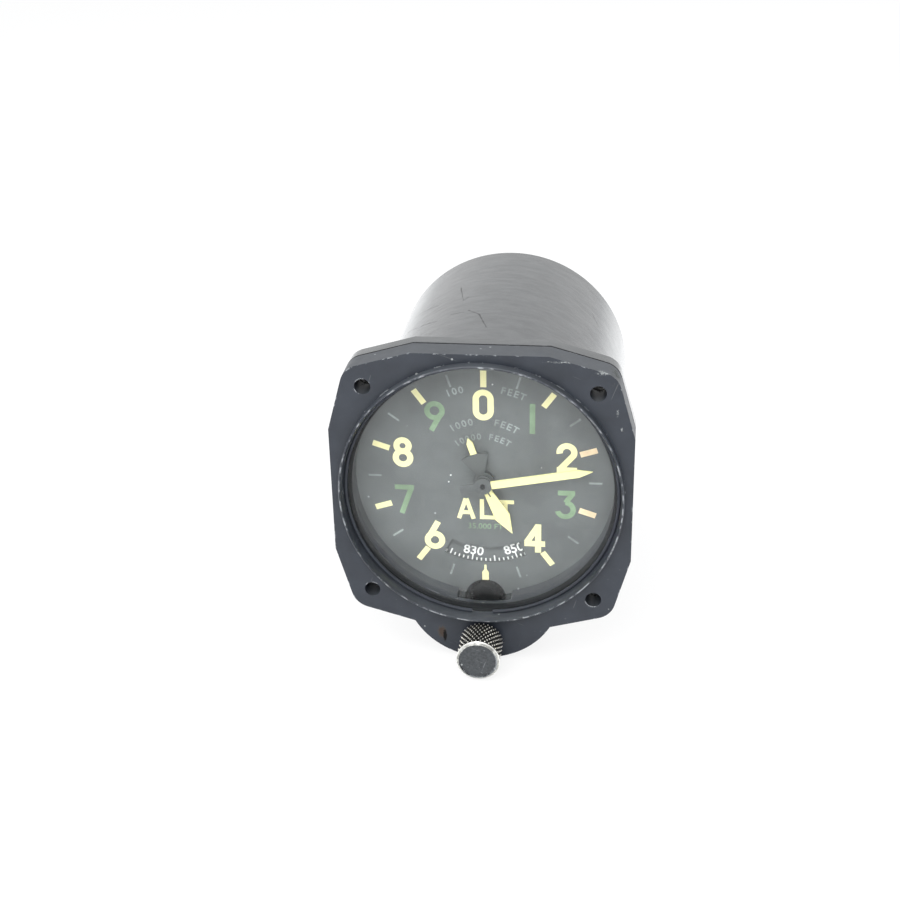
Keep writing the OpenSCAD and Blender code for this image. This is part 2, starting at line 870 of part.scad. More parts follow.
// A round plate of the movement, drilled for the pillars
module movement_plate(y0) {
    difference() {
        rod(y0, y0 + plate_t, plate_r);
        at_pillars() rod(y0 - cut, y0 + plate_t + cut, tie_r + seat_clear);
        children();
    }
}

module train_plate() {
    y1 = train_back_y + cut;
    color(brass) movement_plate(train_y) {
        rod(train_y - cut, y1, staff_r + run_clear);
        rod(train_y - cut, y1, arbor_r + run_clear, arbor_a_at);
        rod(train_y - cut, y1, arbor_r + run_clear, arbor_b_at);
        rod(train_y - cut, y1, arbor_r + run_clear, drive_at);
    }
}

module middle_plate() {
    y1 = middle_back_y + cut;
    color(brass) movement_plate(middle_y) {
        rod(middle_y - cut, y1, staff_r + run_clear);
        rod(middle_y - cut, y1, arbor_r + run_clear, drive_at);
        rod(middle_y - cut, y1, rock_r + run_clear, rock_at);
    }
}

module rear_plate() {
    y1 = rear_back_y + cut;
    color(brass) movement_plate(rear_y) {
        rod(rear_y - cut, y1, arbor_r + run_clear, drive_at);
        rod(rear_y - cut, y1, rock_r + run_clear, rock_at);
        rod(rear_y - cut, y1, spring_stud_r + seat_clear, spring_end);
        for (at = cock_at)
            rod(rear_y - cut, y1, cock_stud_r + seat_clear, at);
        for (z = bracket_screw_zs)
            rod(rear_y - cut, y1, bracket_screw_r + seat_clear, [bracket_x + bracket_foot * 0.6, capsule_z + z]);
    }
}

module pillar_set(y0, y1) {
    color(brass) at_pillars() tube(y0, y1, pillar_r, tie_r + seat_clear);
}

module front_pillars() {
    pillar_set(front_back_y, train_y);
}

module middle_pillars() {
    pillar_set(train_back_y, middle_y);
}

module rear_pillars() {
    pillar_set(middle_back_y, rear_y);
}

module tie_bolts() {
    color(steel) at_pillars() screw(rear_back_y, front_y, tie_r, pillar_r, tie_head_t);
}

// Pointers and their reduction train

// A drawing that points up at zero, turned clockwise by an angle
module clockwise(a) {
    rotate([0, 0, -a]) children();
}

module pointer_100() {
    hub = staff_r + 1.2;
    half = pointer_100_w / 2;
    tip = 4;
    tail = 6.5;
    color(cream) difference() {
        union() {
            slab(pointer_100_y, pointer_100_y + pointer_t) clockwise(pointer_100_turn) {
                polygon([
                    [-half, -tail],
                    [half, -tail],
                    [half, pointer_100_l - tip],
                    [0, pointer_100_l],
                    [-half, pointer_100_l - tip]
                ]);
                circle(r = hub + 0.6);
            }
            rod(pointer_100_y + pointer_t, pointer_100_y + pointer_t + hub_t, hub);
        }
        rod(pointer_100_y - cut, pointer_100_y + pointer_step, staff_r + seat_clear);
    }
}

module pointer_1000() {
    hub = sleeve_r + 1;
    root = 0.85;
    half = pointer_1000_w / 2;
    color(cream) difference() {
        union() {
            slab(pointer_1000_y, pointer_1000_y + pointer_t) clockwise(pointer_1000_turn) {
                polygon([
                    [-root, 0],
                    [root, 0],
                    [half, pointer_1000_l * 0.66],
                    [0, pointer_1000_l],
                    [-half, pointer_1000_l * 0.66]
                ]);
                circle(r = hub + 0.3);
            }
            rod(pointer_1000_y + pointer_t, pointer_1000_y + pointer_t + hub_t, hub);
        }
        rod(pointer_1000_y - cut, pointer_1000_y + pointer_step, sleeve_r + seat_clear);
    }
}

module pointer_10000() {
    hub = outer_r + 0.8;
    fan_r = pointer_10k_l * 0.64;
    half = 0.9;
    color(black_paint) difference() {
        union() {
            slab(pointer_10k_y, pointer_10k_y + pointer_t) clockwise(pointer_10k_found) {
                polygon(concat([[0, 0]], [for (i = [0:6]) polar(fan_r, 90 + fan_angle * (i / 6 - 0.5))]));
                polygon([
                    [-half, 0],
                    [half, 0],
                    [half, pointer_10k_l - 1.6],
                    [0, pointer_10k_l],
                    [-half, pointer_10k_l - 1.6]
                ]);
                circle(r = hub + 0.3);
            }
            rod(pointer_10k_y + pointer_t, pointer_10k_y + pointer_t + hub_t, hub);
        }
        rod(pointer_10k_y - cut, pointer_10k_y + pointer_step, outer_r + seat_clear);
    }
}

module pointer_staff() {
    color(steel) union() {
        rod(pointer_100_y - 0.4, middle_back_y - 0.2, staff_r);
        slab(wheel_a_y, wheel_a_y + wheel_t) gear_2d(small_z, train_module, stage_dir_a);
        slab(drive_y, drive_y + wheel_t) gear_2d(staff_z, drive_module, drive_dir);
    }
}

module thousands_arbor() {
    color(steel) placed(arbor_a_at) union() {
        rod(front_y + 0.3, train_back_y - 0.3, arbor_r);
        slab(gear_1000_y, gear_1000_y + wheel_t) gear_2d(small_z2, train_module, stage_dir_a + 180);
    }
}

module thousands_wheel() {
    color(brass)
        wheel(wheel_a_y, large_z, train_module, gap_turn(large_z, stage_dir_a + 180), arbor_a_at,
            arbor_r + seat_clear, 0.4);
}

module thousands_sleeve() {
    color(steel) difference() {
        union() {
            rod(pointer_1000_y - 0.3, gear_1000_y + wheel_t + 0.1, sleeve_r);
            slab(wheel_b_y, wheel_b_y + wheel_t) gear_2d(small_z, train_module, stage_dir_b);
        }
        rod(pointer_1000_y - cut, gear_1000_y + wheel_t + cut, sleeve_in_r);
    }
}

module thousands_gear() {
    color(brass)
        wheel(gear_1000_y, large_z2, train_module, gap_turn(large_z2, stage_dir_a), [0, 0],
            sleeve_r + seat_clear, 0.1);
}

module ten_thousands_arbor() {
    color(steel) placed(arbor_b_at) union() {
        rod(front_y + 0.3, train_back_y - 0.3, arbor_r);
        slab(gear_10k_y, gear_10k_y + wheel_t) gear_2d(small_z2, train_module, stage_dir_b + 180);
    }
}

module ten_thousands_wheel() {
    color(brass)
        wheel(wheel_b_y, large_z, train_module, gap_turn(large_z, stage_dir_b + 180), arbor_b_at,
            arbor_r + seat_clear, 0.4);
}

module ten_thousands_sleeve() {
    color(steel) tube(pointer_10k_y - 0.3, gear_10k_y + wheel_t + 0.1, outer_r, outer_in_r);
}

module ten_thousands_gear() {
    color(brass)
        wheel(gear_10k_y, large_z2, train_module, gap_turn(large_z2, stage_dir_b), [0, 0],
            outer_r + seat_clear, 0.1);
}

// Drive from the capsules

module drive_arbor() {
    color(steel) placed(drive_at) union() {
        rod(train_y + 0.3, rear_back_y - 0.3, arbor_r);
        slab(sector_y - 0.3, sector_y + sector_t + 0.3) gear_2d(drive_pinion_z, drive_module, rock_dir);
    }
}

module drive_wheel() {
    color(brass)
        wheel(drive_y, drive_z, drive_module, gap_turn(drive_z, drive_dir + 180), drive_at,
            arbor_r + seat_clear, 0.6);
}

module rocking_shaft() {
    color(steel) rod(middle_y + 0.3, cock_y + cock_t - 0.2, rock_r, rock_at);
}

// The toothed rim of the sector, its arms and its balance weight
module sector_gear() {
    pitch_r = sector_z * drive_module / 2;
    rim_out = pitch_r - tooth_ded * drive_module;
    step = 360 / sector_z;
    start = gap_turn(sector_z, rock_dir + 180);
    first = ceil((sector_first - start) / step);
    last = floor((sector_last - start) / step);
    teeth = [for (i = [first:last]) each tooth(sector_z, drive_module, start + i * step)];
    inner = [
        for (i = [12:-1:0])
            polar(rim_out - sector_rim_w, sector_first + (sector_last - sector_first) * i / 12)
    ];
    arm_turns = [
        sector_first + 5,
        (sector_first + sector_last) / 2,
        sector_last - 5
    ];
    color(brass) placed(rock_at) slab(sector_y, sector_y + sector_t) difference() {
        union() {
            polygon(concat(teeth, inner));
            circle(r = sector_hub_r);
            for (a = arm_turns)
                rotate([0, 0, a]) translate([0, -sector_arm_w / 2])
                    square([rim_out - sector_rim_w / 2, sector_arm_w]);
            rotate([0, 0, weight_turn]) translate([0, -sector_arm_w / 2]) square([weight_at, sector_arm_w]);
            translate(polar(weight_at, weight_turn)) circle(r = weight_r);
        }
        circle(r = rock_r + seat_clear);
    }
}

module rocking_crank() {
    y0 = capsule_y + link_t / 2 + 0.4;
    color(steel) difference() {
        union() {
            slab(y0, y0 + crank_t) {
                translate(rock_at) circle(r = rock_r + 1.5);
                translate(crank_pin_at) circle(r = crank_pin_r + 0.9);
                translate(rock_at) clockwise(crank_rest)
                    translate([-crank_pin_r - 0.6, 0]) square([2 * crank_pin_r + 1.2, crank_r]);
            }
            rod(capsule_y - link_t / 2 - 0.4, y0 + cut, crank_pin_r, crank_pin_at);
        }
        rod(y0 - cut, y0 + crank_t + cut, rock_r + seat_clear, rock_at);
    }
}

// The link ends in a fork, open towards the rocking shaft, that spans the crank's pin
module capsule_link() {
    slot_half = crank_pin_r + slot_side;
    fork_half = slot_half + 1.2;
    y0 = capsule_y - link_t / 2;
    fork_low = -crank_pin_r - 0.1;
    color(steel) union() {
        slab(y0, y0 + link_t) difference() {
            union() {
                translate([capsule_end_x + 1, capsule_z - link_w / 2])
                    square([crank_pin_at[0] - capsule_end_x - 1, link_w]);
                translate(crank_pin_at + [0, slot_up]) circle(r = fork_half);
                translate(crank_pin_at + [-fork_half, fork_low]) square([2 * fork_half, slot_up - fork_low]);
            }
            translate(crank_pin_at + [0, slot_up]) circle(r = slot_half);
            translate(crank_pin_at + [-slot_half, fork_low - 2])
                square([2 * slot_half, slot_up - fork_low + 2]);
        }
        translate([capsule_end_x, capsule_y, capsule_z]) rotate([0, 90, 0])
            cylinder(h = 2.5, r = link_stud_r);
    }
}

// Capsules and what holds them

// Half thickness of a capsule's corrugated wall at radius r
function capsule_half(r) =
    let (share = (r - capsule_neck_r) / (capsule_r - capsule_neck_r))
    capsule_t / 2 - 0.9 + 0.9 * share * share + corrugation * cos(share * 360 * 4) * (1 - share);

function capsule_profile(x) = concat(
    [[0, x - capsule_half(capsule_neck_r)]],
    [for (i = [0:16]) let (r = capsule_neck_r + (capsule_r - capsule_neck_r) * i / 16) [r, x - capsule_half(r)]],
    [for (i = [16:-1:0]) let (r = capsule_neck_r + (capsule_r - capsule_neck_r) * i / 16) [r, x + capsule_half(r)]],
    [[0, x + capsule_half(capsule_neck_r)]]
);

module capsule_stack() {
    color(brass) union() {
        for (i = [0:capsule_count - 1])
            turned_x(capsule_y, capsule_z)
                polygon(capsule_profile(capsule_first_x + capsule_pitch * (i + 0.5) + 0.5));
        translate([capsule_first_x, capsule_y, capsule_z]) rotate([0, 90, 0])
            cylinder(h = capsule_end_x - capsule_first_x, r = capsule_neck_r);
        translate([bracket_x - nut_t - 0.4, capsule_y, capsule_z]) rotate([0, 90, 0])
            cylinder(h = nut_t + bracket_t + 0.4 + cut, r = capsule_stud_r);
    }
}

module capsule_nut() {
    color(brass) translate([bracket_x - nut_t, capsule_y, capsule_z]) rotate([0, 90, 0]) difference() {
        cylinder(h = nut_t, r = nut_across_r, $fn = 6);
        translate([0, 0, -cut]) cylinder(h = nut_t + 2 * cut, r = capsule_stud_r + seat_clear);
    }
}

module capsule_bracket() {
    color(steel) difference() {
        union() {
            translate([bracket_x, rear_back_y, capsule_z - bracket_up])
                cube([bracket_t, capsule_y - rear_back_y, 2 * bracket_up]);
            translate([bracket_x, rear_back_y, capsule_z - bracket_up])
                cube([bracket_foot, bracket_t, 2 * bracket_up]);
            translate([bracket_x, capsule_y, capsule_z]) rotate([0, 90, 0])
                cylinder(h = bracket_t, r = bracket_up);
        }
        translate([bracket_x - cut, capsule_y, capsule_z]) rotate([0, 90, 0])
            cylinder(h = bracket_t + 2 * cut, r = capsule_stud_r + seat_clear);
        at_pillars() rod(rear_back_y - cut, rear_back_y + bracket_t + cut, pillar_r + 0.4);
        for (z = bracket_screw_zs)
            rod(rear_back_y - cut, rear_back_y + bracket_t + cut, bracket_screw_r + seat_clear,
                [bracket_x + bracket_foot * 0.6, capsule_z + z]);
    }
}

module bracket_screws() {
    color(steel) for (z = bracket_screw_zs) placed([bracket_x + bracket_foot * 0.6, capsule_z + z])
        screw(rear_back_y + bracket_t, rear_y, bracket_screw_r, bracket_screw_head_r, 0.9);
}

module cock_pillars() {
    color(brass) for (at = cock_at) placed(at) {
        rod(rear_back_y, cock_y, cock_pillar_r);
        rod(rear_y + 0.2, rear_back_y + cut, cock_stud_r);
        rod(cock_y - cut, cock_y + cock_t, cock_stud_r);
    }
}

module shaft_cock() {
    color(brass) slab(cock_y, cock_y + cock_t) difference() {
        union() {
            polygon([rock_at, cock_at[0], cock_at[1]]);
            translate(rock_at) circle(r = cock_eye_r);
            for (at = cock_at)
                translate(at) circle(r = cock_eye_r);
        }
        translate(rock_at) circle(r = rock_r + run_clear);
        for (at = cock_at)
            translate(at) circle(r = cock_stud_r + seat_clear);
    }
}

function spiral(r, a) = rock_at + polar(r, a);

module hairspring() {
    count = spring_turns * spring_steps;
    grow = (spring_out_r - spring_in_r) / count;
    step = 360 / spring_steps;
    outer = [for (i = [0:count]) spiral(spring_in_r + grow * i + spring_wire, step * i)];
    inner = [for (i = [count:-1:0]) spiral(spring_in_r + grow * i, step * i)];
    color([0.35, 0.42, 0.62]) slab(spring_y, spring_y + spring_h) polygon(concat(outer, inner));
}

module spring_stud() {
    color(steel) rod(rear_y, spring_y + spring_h + 0.6, spring_stud_r, spring_end);
}

bezel();
cover_glass();
glass_gasket();
glass_snap_ring();
dial_spacer_ring();
dial_plate();
case_gasket();
case_flange();
case_shell();
case_screws();
static_port();
port_washer();
setting_bush();
shaft_seal();
idler_stud();
front_plate();
plate_screws();
pointer_bush();
train_plate();
middle_plate();
rear_plate();
front_pillars();
middle_pillars();
rear_pillars();
tie_bolts();
capsule_bracket();
bracket_screws();
capsule_stack();
capsule_nut();
cock_pillars();
shaft_cock();
hairspring();
spring_stud();
setting_knob();
knob_shaft();
setting_pinion();
knob_grub_screw();
shaft_clip();
idler_gear();
baro_scale();
baro_gear();
scale_rivets();
pointer_100();
pointer_staff();
thousands_arbor();
thousands_wheel();
pointer_1000();
thousands_sleeve();
thousands_gear();
ten_thousands_arbor();
ten_thousands_wheel();
pointer_10000();
ten_thousands_sleeve();
ten_thousands_gear();
drive_arbor();
drive_wheel();
rocking_shaft();
sector_gear();
rocking_crank();
capsule_link();
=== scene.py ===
"""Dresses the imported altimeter: finishes, dial printing, pointers, knurled knob and a white studio."""

import json
import logging
import math
from collections.abc import Callable, Iterable, Iterator, Sequence
from contextlib import contextmanager
from dataclasses import dataclass
from enum import Enum
from functools import reduce
from typing import ClassVar

import bpy
from mathutils import Matrix, Vector


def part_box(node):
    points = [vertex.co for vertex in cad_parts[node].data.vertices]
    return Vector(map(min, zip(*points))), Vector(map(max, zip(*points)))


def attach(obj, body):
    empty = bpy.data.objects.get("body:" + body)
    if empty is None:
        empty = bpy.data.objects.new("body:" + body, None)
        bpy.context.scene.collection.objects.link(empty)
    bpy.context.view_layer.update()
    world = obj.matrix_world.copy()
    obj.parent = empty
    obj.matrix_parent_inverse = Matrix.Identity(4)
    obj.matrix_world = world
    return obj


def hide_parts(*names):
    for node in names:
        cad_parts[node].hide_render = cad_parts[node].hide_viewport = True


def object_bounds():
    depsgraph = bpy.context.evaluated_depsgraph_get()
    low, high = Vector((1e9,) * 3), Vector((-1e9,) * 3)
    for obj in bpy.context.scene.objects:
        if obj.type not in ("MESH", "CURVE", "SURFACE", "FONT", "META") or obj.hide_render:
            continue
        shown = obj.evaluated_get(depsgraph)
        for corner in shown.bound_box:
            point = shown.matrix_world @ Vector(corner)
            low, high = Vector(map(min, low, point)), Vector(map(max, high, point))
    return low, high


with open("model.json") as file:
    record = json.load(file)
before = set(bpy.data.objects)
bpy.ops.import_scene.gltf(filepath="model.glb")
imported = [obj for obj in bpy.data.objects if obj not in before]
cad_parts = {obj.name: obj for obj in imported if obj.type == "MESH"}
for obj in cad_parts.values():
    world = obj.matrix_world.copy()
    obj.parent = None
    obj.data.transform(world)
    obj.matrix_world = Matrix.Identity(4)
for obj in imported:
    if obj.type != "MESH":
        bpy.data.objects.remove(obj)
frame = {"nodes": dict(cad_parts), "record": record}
CAD_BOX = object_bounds()

LOG = logging.getLogger("altimeter")
MM = 0.001
FULL_TURN = 360

Point = tuple[float, float]
Colour = tuple[float, float, float]
Obj = bpy.types.Object
Socket = bpy.types.NodeSocket
Value = Socket | float | Sequence[float]
Inputs = dict[str | int, Value]


class Body(Enum):
    """The CAD bodies that added pieces ride on."""

    CASE = "case"
    KNOB = "knob"
    SCALE = "pressure_scale"


class Ink(Enum):
    """The paints that the dial and its scale are printed with."""

    CREAM = "cream"
    AMBER = "amber"
    GREEN = "green"
    GREY = "grey"
    WHITE = "white"


def polar(radius: float, angle: float) -> Point:
    """Finds the (x, z) at a radius from the pointer axis and an angle in degrees clockwise from the top."""
    turn = math.radians(angle)
    return radius * math.sin(turn), radius * math.cos(turn)


@dataclass
class Graph:
    """Adds nodes to one shader tree and links them."""

    tree: bpy.types.NodeTree
    measures: ClassVar[tuple[str, ...]] = ("DOT_PRODUCT", "LENGTH", "DISTANCE")

    @classmethod
    def fresh(cls, owner: bpy.types.Material | bpy.types.World) -> "Graph":
        """Starts on the empty tree of a material or a world.

        Args:
            owner: The material or the world.

        Returns:
            The graph of its tree.
        """
        owner.use_nodes = True
        owner.node_tree.nodes.clear()
        return cls(owner.node_tree)

    def put(self, socket: Socket, value: Value) -> None:
        """Links a socket or sets its constant.

        Args:
            socket: The input to feed.
            value: Another socket to link, or a constant.
        """
        if isinstance(value, Socket):
            self.tree.links.new(value, socket)
        else:
            socket.default_value = value

    def add(self, kind: str, inputs: Inputs | None = None, **settings: object) -> bpy.types.Node:
        """Adds a node.

        Args:
            kind: The node's type name.
            inputs: Constants or sockets by input name or index.
            settings: Properties of the node itself.

        Returns:
            The new node.
        """
        node = self.tree.nodes.new(kind)
        for key, value in settings.items():
            setattr(node, key, value)
        for key, value in (inputs or {}).items():
            self.put(node.inputs[key], value)
        return node

    def effect(self, group: str, **inputs: float) -> Socket:
        """Adds one of the shared groups with its constants, and gives its mask."""
        return self.add("ShaderNodeGroup", inputs, node_tree=bpy.data.node_groups[group]).outputs[0]

    def math(self, operation: str, *values: Value, clamp: bool = False) -> Socket:
        """Adds a math node and gives its result, between 0 and 1 if clamped."""
        inputs = dict(enumerate(values))
        return self.add("ShaderNodeMath", inputs, operation=operation, use_clamp=clamp).outputs[0]

    def vector(self, operation: str, *values: Value) -> Socket:
        """Adds a vector math node and gives its result, a number where the operation measures."""
        node = self.add("ShaderNodeVectorMath", dict(enumerate(values)), operation=operation)
        return node.outputs["Value" if operation in self.measures else "Vector"]

    def mix(self, factor: Value, first: Socket | Colour, second: Socket | Colour) -> Socket:
        """Mixes two colours, with the first at factor 0 and the second at factor 1."""
        low, high = (end if isinstance(end, Socket) else (*end, 1.0) for end in (first, second))
        return self.add("ShaderNodeMix", {0: factor, 6: low, 7: high}, data_type="RGBA").outputs[2]

    def step(self, value: Value, low: float, high: float) -> Socket:
        """Turns a value into a soft mask, 0 at the low value and 1 at the high one."""
        inputs = {0: value, 1: low, 2: high}
        return self.add("ShaderNodeMapRange", inputs, interpolation_type="SMOOTHSTEP").outputs[0]

    def noise(self, spot: Socket, scale: Value, detail: Value, rough: float = 0.5) -> Socket:
        """Adds a noise texture at a point and gives its value."""
        inputs = {"Vector": spot, "Scale": scale, "Detail": detail, "Roughness": rough}
        return self.add("ShaderNodeTexNoise", inputs).outputs[0]

    def place(self, origin: Sequence[float] = (0, 0, 0)) -> Socket:
        """Gives the shaded point in the object's own frame, from an origin in metres."""
        return self.vector("SUBTRACT", self.add("ShaderNodeTexCoord").outputs["Object"], tuple(origin))

    def scaled(self, scale: Colour) -> Socket:
        """Gives the shaded point with each axis scaled."""
        return self.add("ShaderNodeMapping", {"Vector": self.place(), "Scale": scale}).outputs[0]

    def along(self, direction: Sequence[float]) -> Socket:
        """Measures the shaded point along a unit direction, in metres."""
        return self.vector("DOT_PRODUCT", self.place(), tuple(direction))

    def off_axis(self, origin: Sequence[float]) -> Socket:
        """Measures how far the shaded point is from a line along Y through an origin, in metres."""
        return self.vector("LENGTH", self.vector("MULTIPLY", self.place(origin), (1, 0, 1)))

    def unrolled(self, radius: float) -> Socket:
        """Gives the shaded point of a round can as if its wall were rolled out flat.

        Args:
            radius: Radius of the can in metres.

        Returns:
            The point as a vector: distance round the wall from the top, Y and 0.
        """
        spot = self.add("ShaderNodeSeparateXYZ", {0: self.place()}).outputs
        around = self.math("MULTIPLY", self.math("ARCTAN2", spot[0], spot[2]), radius)
        return self.add("ShaderNodeCombineXYZ", {0: around, 1: spot[1]}).outputs[0]

    def from_line(self, spot: Socket, start: Vector, end: Vector) -> Socket:
        """Measures how far a point lies from a straight line between two ends.

        Args:
            spot: The point.
            start: One end of the line.
            end: The other end.

        Returns:
            The distance.
        """
        way = end - start
        out = self.vector("SUBTRACT", spot, tuple(start))
        share = self.vector("DOT_PRODUCT", out, tuple(way / way.length_squared))
        kept = self.math("MULTIPLY", share, 1.0, clamp=True)
        return self.vector("DISTANCE", out, self.vector("MULTIPLY", tuple(way), kept))


class Effects:
    """Node groups that several finishes share."""

    scratch_turns: tuple[Colour, ...] = ((0.2, 0.35, 0.1), (-0.1, 1.9, 0.3), (0.4, -0.8, 1.2))
    scratch_stretch: Colour = (38.0, 2.0, 1.0)

    def build(self) -> None:
        """Makes the shared groups once."""
        self._group("mottle", self._mottle, Scale=60.0, Detail=4.0)
        self._group("edge_wear", self._edge_wear, Radius=0.0005, Scale=400.0, Reach=0.5)
        self._group("scratches", self._scratches, Scale=2200.0, Cover=0.3)
        self._group("specks", self._specks, Scale=500.0, Size=0.12, Cover=0.4)

    def _group(
        self, name: str, fill: Callable[[Graph, bpy.types.NodeOutputs], Socket], **inputs: float
    ) -> None:
        """Makes one group.

        Args:
            name: Its name.
            fill: Adds its nodes and gives its mask.
            inputs: Its inputs with their defaults.
        """
        tree = bpy.data.node_groups.new(name, "ShaderNodeTree")
        for key, value in inputs.items():
            socket = tree.interface.new_socket(key, in_out="INPUT", socket_type="NodeSocketFloat")
            socket.default_value = value
        tree.interface.new_socket("Mask", in_out="OUTPUT", socket_type="NodeSocketFloat")
        graph = Graph(tree)
        graph.add("NodeGroupOutput", {"Mask": fill(graph, graph.add("NodeGroupInput").outputs)})

    def _mottle(self, graph: Graph, given: bpy.types.NodeOutputs) -> Socket:
        """Makes soft patches."""
        return graph.noise(graph.place(), given["Scale"], given["Detail"], 0.6)

    def _edge_wear(self, graph: Graph, given: bpy.types.NodeOutputs) -> Socket:
        """Finds edges, and keeps them where chips have gone.

        Args:
            graph: The group's graph.
            given: The group's inputs.

        Returns:
            The mask.
        """
        rounded = graph.add("ShaderNodeBevel", {"Radius": given["Radius"]}, samples=6).outputs[0]
        normal = graph.add("ShaderNodeNewGeometry").outputs["Normal"]
        bend = graph.math("SUBTRACT", 1.0, graph.vector("DOT_PRODUCT", rounded, normal))
        chips = graph.noise(graph.place(), given["Scale"], 5.0, 0.65)
        rest = graph.math("SUBTRACT", 1.0, given["Reach"])
        kept = graph.math("GREATER_THAN", chips, graph.math("MULTIPLY_ADD", rest, 0.5, 0.25))
        return graph.math("MULTIPLY", graph.step(bend, 0.01, 0.16), kept, clamp=True)

    def _scratches(self, graph: Graph, given: bpy.types.NodeOutputs) -> Socket:
        """Draws hairlines in a few directions.

        Args:
            graph: The group's graph.
            given: The group's inputs.

        Returns:
            The mask.
        """
        edge = graph.math("MULTIPLY_ADD", given["Cover"], -0.2, 0.8)
        lines: Value = 0.0
        for turn in self.scratch_turns:
            inputs = {"Vector": graph.place(), "Rotation": turn, "Scale": self.scratch_stretch}
            spot = graph.add("ShaderNodeMapping", inputs, vector_type="TEXTURE").outputs[0]
            streak = graph.math("SUBTRACT", graph.noise(spot, given["Scale"], 1.0, 0.4), edge)
            lines = graph.math("MAXIMUM", lines, graph.math("MULTIPLY", streak, 30.0, clamp=True))
        return lines

    def _specks(self, graph: Graph, given: bpy.types.NodeOutputs) -> Socket:
        """Puts a dot in some of the cells of a pattern.

        Args:
            graph: The group's graph.
            given: The group's inputs.

        Returns:
            The mask.
        """
        cells = graph.add("ShaderNodeTexVoronoi", {"Vector": graph.place(), "Scale": given["Scale"]}).outputs
        small = graph.math("LESS_THAN", cells["Distance"], given["Size"])
        pick = graph.add("ShaderNodeSeparateColor", {0: cells["Color"]}).outputs[0]
        return graph.math("MULTIPLY", small, graph.math("LESS_THAN", pick, given["Cover"]), clamp=True)


@dataclass(frozen=True)
class Finish:
    """A surface finish that makes its own material.

    Attributes:
        name: Name of the material.
        colour: Base colour, linear.
        rough: Roughness.
        metallic: 1 for bare metal.
        mottle: How far the colour strays from place to place.
        blotch: Scale of the patches.
        bump: Height of the fine texture in metres.
        grain: Scale of the fine texture.
        gloss: Specular level, 0.5 for plain paint.
        haze: How far the roughness strays from place to place.
    """

    name: str
    colour: Colour
    rough: float = 0.5
    metallic: float = 0.0
    mottle: float = 0.15
    blotch: float = 90.0
    bump: float = 0.00003
    grain: float = 900.0
    gloss: float = 0.5
    haze: float = 0.24

    def tint(self, graph: Graph) -> Socket:
        """Mixes the base colour.

        Args:
            graph: The material's graph.

        Returns:
            The colour.
        """
        low = tuple(c * (1 - self.mottle) for c in self.colour)
        high = tuple(min(1.0, c * (1 + self.mottle)) for c in self.colour)
        return graph.mix(graph.step(graph.effect("mottle", Scale=self.blotch), 0.3, 0.7), low, high)

    def dull(self, graph: Graph) -> Socket:
        """Mixes the roughness."""
        strays = graph.effect("mottle", Scale=240.0)
        return graph.math("MULTIPLY_ADD", strays, self.haze, self.rough - self.haze / 2)

    def relief(self, graph: Graph) -> Socket:
        """Mixes the height of the fine texture, from 0 to about 1."""
        return graph.effect("mottle", Scale=self.grain, Detail=3.0)

    def shine(self, graph: Graph) -> Value:
        """Says how much of the surface is bare metal."""
        return self.metallic

    def lacquer(self, graph: Graph) -> Value:
        """Says how much clear lacquer lies on the surface."""
        return 0.0

    def material(self) -> bpy.types.Material:
        """Makes the material.

        Returns:
            The material with its nodes.
        """
        made = bpy.data.materials.new(self.name)
        made.diffuse_color = (*self.colour, 1.0)
        graph = Graph.fresh(made)
        relief = {"Height": self.relief(graph), "Distance": self.bump, "Strength": 0.8}
        surface = graph.add(
            "ShaderNodeBsdfPrincipled",
            {
                "Base Color": self.tint(graph),
                "Roughness": self.dull(graph),
                "Metallic": self.shine(graph),
                "Specular IOR Level": self.gloss,
                "Coat Weight": self.lacquer(graph),
                "Coat Roughness": self.rough,
                "Normal": graph.add("ShaderNodeBump", relief).outputs[0],
            },
        )
        graph.add("ShaderNodeOutputMaterial", {"Surface": surface.outputs[0]})
        return made


@dataclass(frozen=True)
class Stain:
    """A blemish, or a patch of painted shade, in one place.

    Attributes:
        centre: Its middle in metres.
        reach: Its half-widths along X, Y and Z in metres.
        colour: Its colour.
        grain: Scale of its ragged edge.
        ragged: How far the edge strays.
    """

    centre: Colour
    reach: Colour
    colour: Colour
    grain: float = 900.0
    ragged: float = 1.2

    def mask(self, graph: Graph) -> Socket:
        """Says where the blemish or the painted shade lies.

        Args:
            graph: The material's graph.

        Returns:
            The mask.
        """
        far = graph.vector("LENGTH", graph.vector("DIVIDE", graph.place(self.centre), self.reach))
        start = graph.math("ADD", far, -0.4 * self.ragged)
        noise = graph.effect("mottle", Scale=self.grain, Detail=5.0)
        return graph.step(graph.math("MULTIPLY_ADD", noise, self.ragged, start), 1.0, 0.5)


